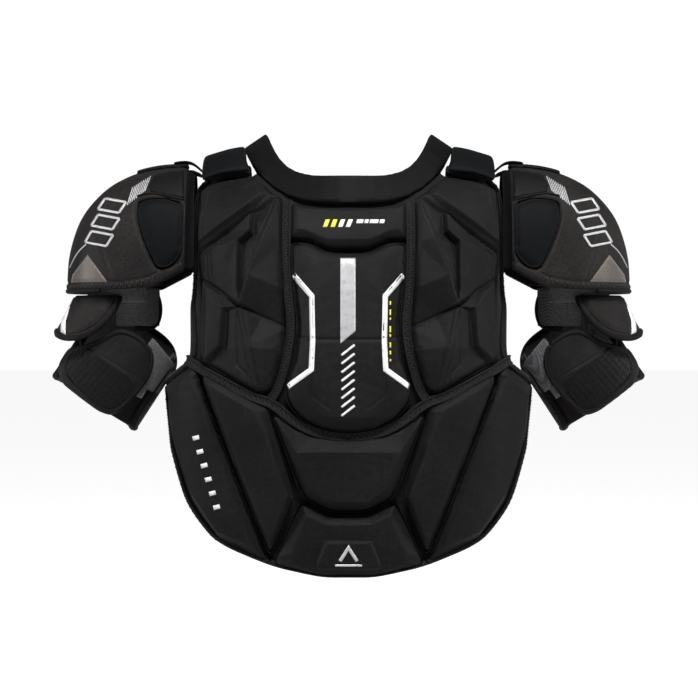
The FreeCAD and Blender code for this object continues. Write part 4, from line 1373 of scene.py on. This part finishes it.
def build_joins(side, sign):
    """The cloth that joins each arm piece to the next."""
    cap, guard, cuff, flap = (f"{stem}_{side}" for stem in ("cap", "guard", "cuff", "flap"))
    around = np.linspace(-118, 118, 44)
    levels = ((318, -1), (312, 0), (306, 1), (300, 2), (294, 2.4), (288, 3.6))
    upper = sheet(f"arm_sleeve_upper_{side}", oval_rows(238, 43, 45, levels, around, sign), 1.8)
    blended(upper, GREY_MESH, "mesh_lining", cap, guard, (0, 0, 0.310), (0, 0, 0.292))
    levels = ((272, 3.6), (264, 4), (256, 4), (250, 3), (244, 2), (238, 1))
    around = np.linspace(-30, 118, 30)
    lower = sheet(f"arm_sleeve_lower_{side}", oval_rows(246, 46, 42, levels, around, sign), 1.8)
    blended(lower, LINING, "mesh_lining", guard, cuff, (0, 0, 0.258), (0, 0, 0.246))
    rows = []
    for turn in (196, 203, 210, 217, 224, 231, 238, 245, 250):
        s, y = oval(turn, 54.4, 47.4)
        top, bottom = -37 - 0.27 * (turn - 196), -2 + 0.1 * (turn - 196)
        rows.append([tuple(cuff_place(s, y, a, sign) / MM) for a in np.linspace(top, bottom, 11)])
    hinge = sheet(f"flap_hinge_{side}", rows, 1.8)
    blended(hinge, GREY_MESH, "grey_mesh", cuff, flap, tuple(cuff_place(-45, -26, 0, sign)),
            tuple(cuff_place(-36, -35, 0, sign)))


def build_belly_fold(front_tree):
    """The cloth fold that the belly pad hangs from."""
    rows = []
    for z in (214, 209, 204, 199.5, 195, 190, 184):
        row = []
        for x in np.linspace(-103, 103, 42):
            row.append((x, drop(front_tree, x, z, AHEAD)[0].y / MM, z))
        rows.append(row)
    depth = np.array(rows)
    for _ in range(30):
        depth[1:-1, :, 1] = depth[1:-1, :, 1] * 0.5 + (depth[:-2, :, 1] + depth[2:, :, 1]) * 0.25
    depth[:, :, 1] = np.minimum.reduce([depth[:, :, 1], depth[:, :, 1] - 2.6])
    fold = sheet("belly_fold", depth.tolist(), 2.4)
    blended(fold, TAPE, "shell_fabric", "front", "belly", (0, 0.12, 0.204), (0, 0.12, 0.194))


# ================================================================ stage, light and camera
def build_stage():
    """A pale floor and pale surroundings, soft light from both sides, and the viewing camera."""
    material, tree, shader = blank_material("pale_floor")
    shader.inputs["Base Color"].default_value = (0.5, 0.5, 0.5, 1)
    shader.inputs["Roughness"].default_value = 0.9
    shader.inputs["Emission Color"].default_value = (1, 1, 1, 1)
    seen = tree.nodes.new("ShaderNodeLightPath").outputs["Is Camera Ray"]
    tree.links.new(ranged(tree, seen, 0.0, 1.0, 0.1, FLOOR_GLOW), shader.inputs["Emission Strength"])
    floor = new_object("floor", [(-40, -40, FLOOR_Z), (40, -40, FLOOR_Z), (40, 40, FLOOR_Z),
                                 (-40, 40, FLOOR_Z)],
                       [(0, 1, 2, 3)])
    floor.data.materials.append(material)
    world = bpy.data.worlds.new("surroundings")
    world.use_nodes = True
    nodes, links = world.node_tree.nodes, world.node_tree.links
    nodes.clear()
    dim = add_node(world.node_tree, "ShaderNodeBackground", Color=(1, 1, 1, 1), Strength=AMBIENT)
    bright = add_node(world.node_tree, "ShaderNodeBackground", Color=(1, 1, 1, 1), Strength=1.02)
    rays = nodes.new("ShaderNodeLightPath").outputs["Is Camera Ray"]
    mix = add_node(world.node_tree, "ShaderNodeMixShader", i0=rays, i1=dim.outputs[0], i2=bright.outputs[0])
    links.new(mix.outputs[0], nodes.new("ShaderNodeOutputWorld").inputs[0])
    scene = bpy.context.scene
    scene.world = world
    scene.view_settings.view_transform = "Standard"
    for name, place, size, power in LIGHTS:
        light = bpy.data.lights.new(name, "AREA")
        light.shape = "RECTANGLE"
        light.size, light.size_y = size
        light.energy = power
        lamp = bpy.data.objects.new(name, light)
        scene.collection.objects.link(lamp)
        lamp.location = place
        aim = Vector((0, 0, 0.25)) - Vector(place)
        lamp.rotation_euler = aim.to_track_quat("-Z", "Y").to_euler()
    camera_data = bpy.data.cameras.new("camera")
    camera_data.sensor_width = 36
    camera_data.lens = CAMERA_LENS
    camera = bpy.data.objects.new("camera", camera_data)
    scene.collection.objects.link(camera)
    camera.location = (CAMERA_AIM[0], -CAMERA_AWAY, CAMERA_AIM[1])
    camera.rotation_euler = (math.radians(90), 0, 0)
    camera_data.clip_end = 200
    scene.camera = camera


FLOOR_Z = -0.16
FLOOR_GLOW = 0.9
CAMERA_AIM = (0.0005, 0.243)
CAMERA_AWAY = 3.0
CAMERA_LENS = 142
AMBIENT = 0.07
LIGHTS = (
    ("left_softbox", (-2.5, -0.5, 0.9), (0.4, 1.4), 34),
    ("right_softbox", (2.5, -0.5, 0.9), (0.4, 1.4), 34),
    ("overhead_softbox", (0.2, -1.5, 2.3), (1.0, 0.6), 95),
)


# ================================================================ the whole object
def surface_of(*nodes):
    """The ray-casting tree of finished covers."""
    return surface_tree(*(bpy.data.objects[node + "_cover"] for node in nodes))


for node in ("spine_plate", "sternum_plate", "cap_plate_right", "cap_plate_left", "bicep_guard_plate_right",
             "bicep_guard_plate_left"):
    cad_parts[node].data.materials.clear()
    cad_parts[node].data.materials.append(PLATE_PLASTIC)
build_vest()
build_linings()
build_collar()
for side, sign in SIDES:
    build_shoulder(side, sign)
    build_side_strap(side, sign)
    build_cap(side, sign)
    build_guard(side, sign)
    build_cuff(side, sign)
    build_joins(side, sign)

build_seams(surface_of("back_liner"))
build_prints(surface_of("back_liner", "back_wing_left", "back_wing_right"), surface_of("spine_pad"),
             surface_of("tail_pad"), surface_of("spine_yoke_pad"))
build_belly_fold(surface_of("sternum_pad", "chest_pad_left", "chest_pad_right", "belly_pad", "front_liner"))
build_stage()
bpy.context.view_layer.update()
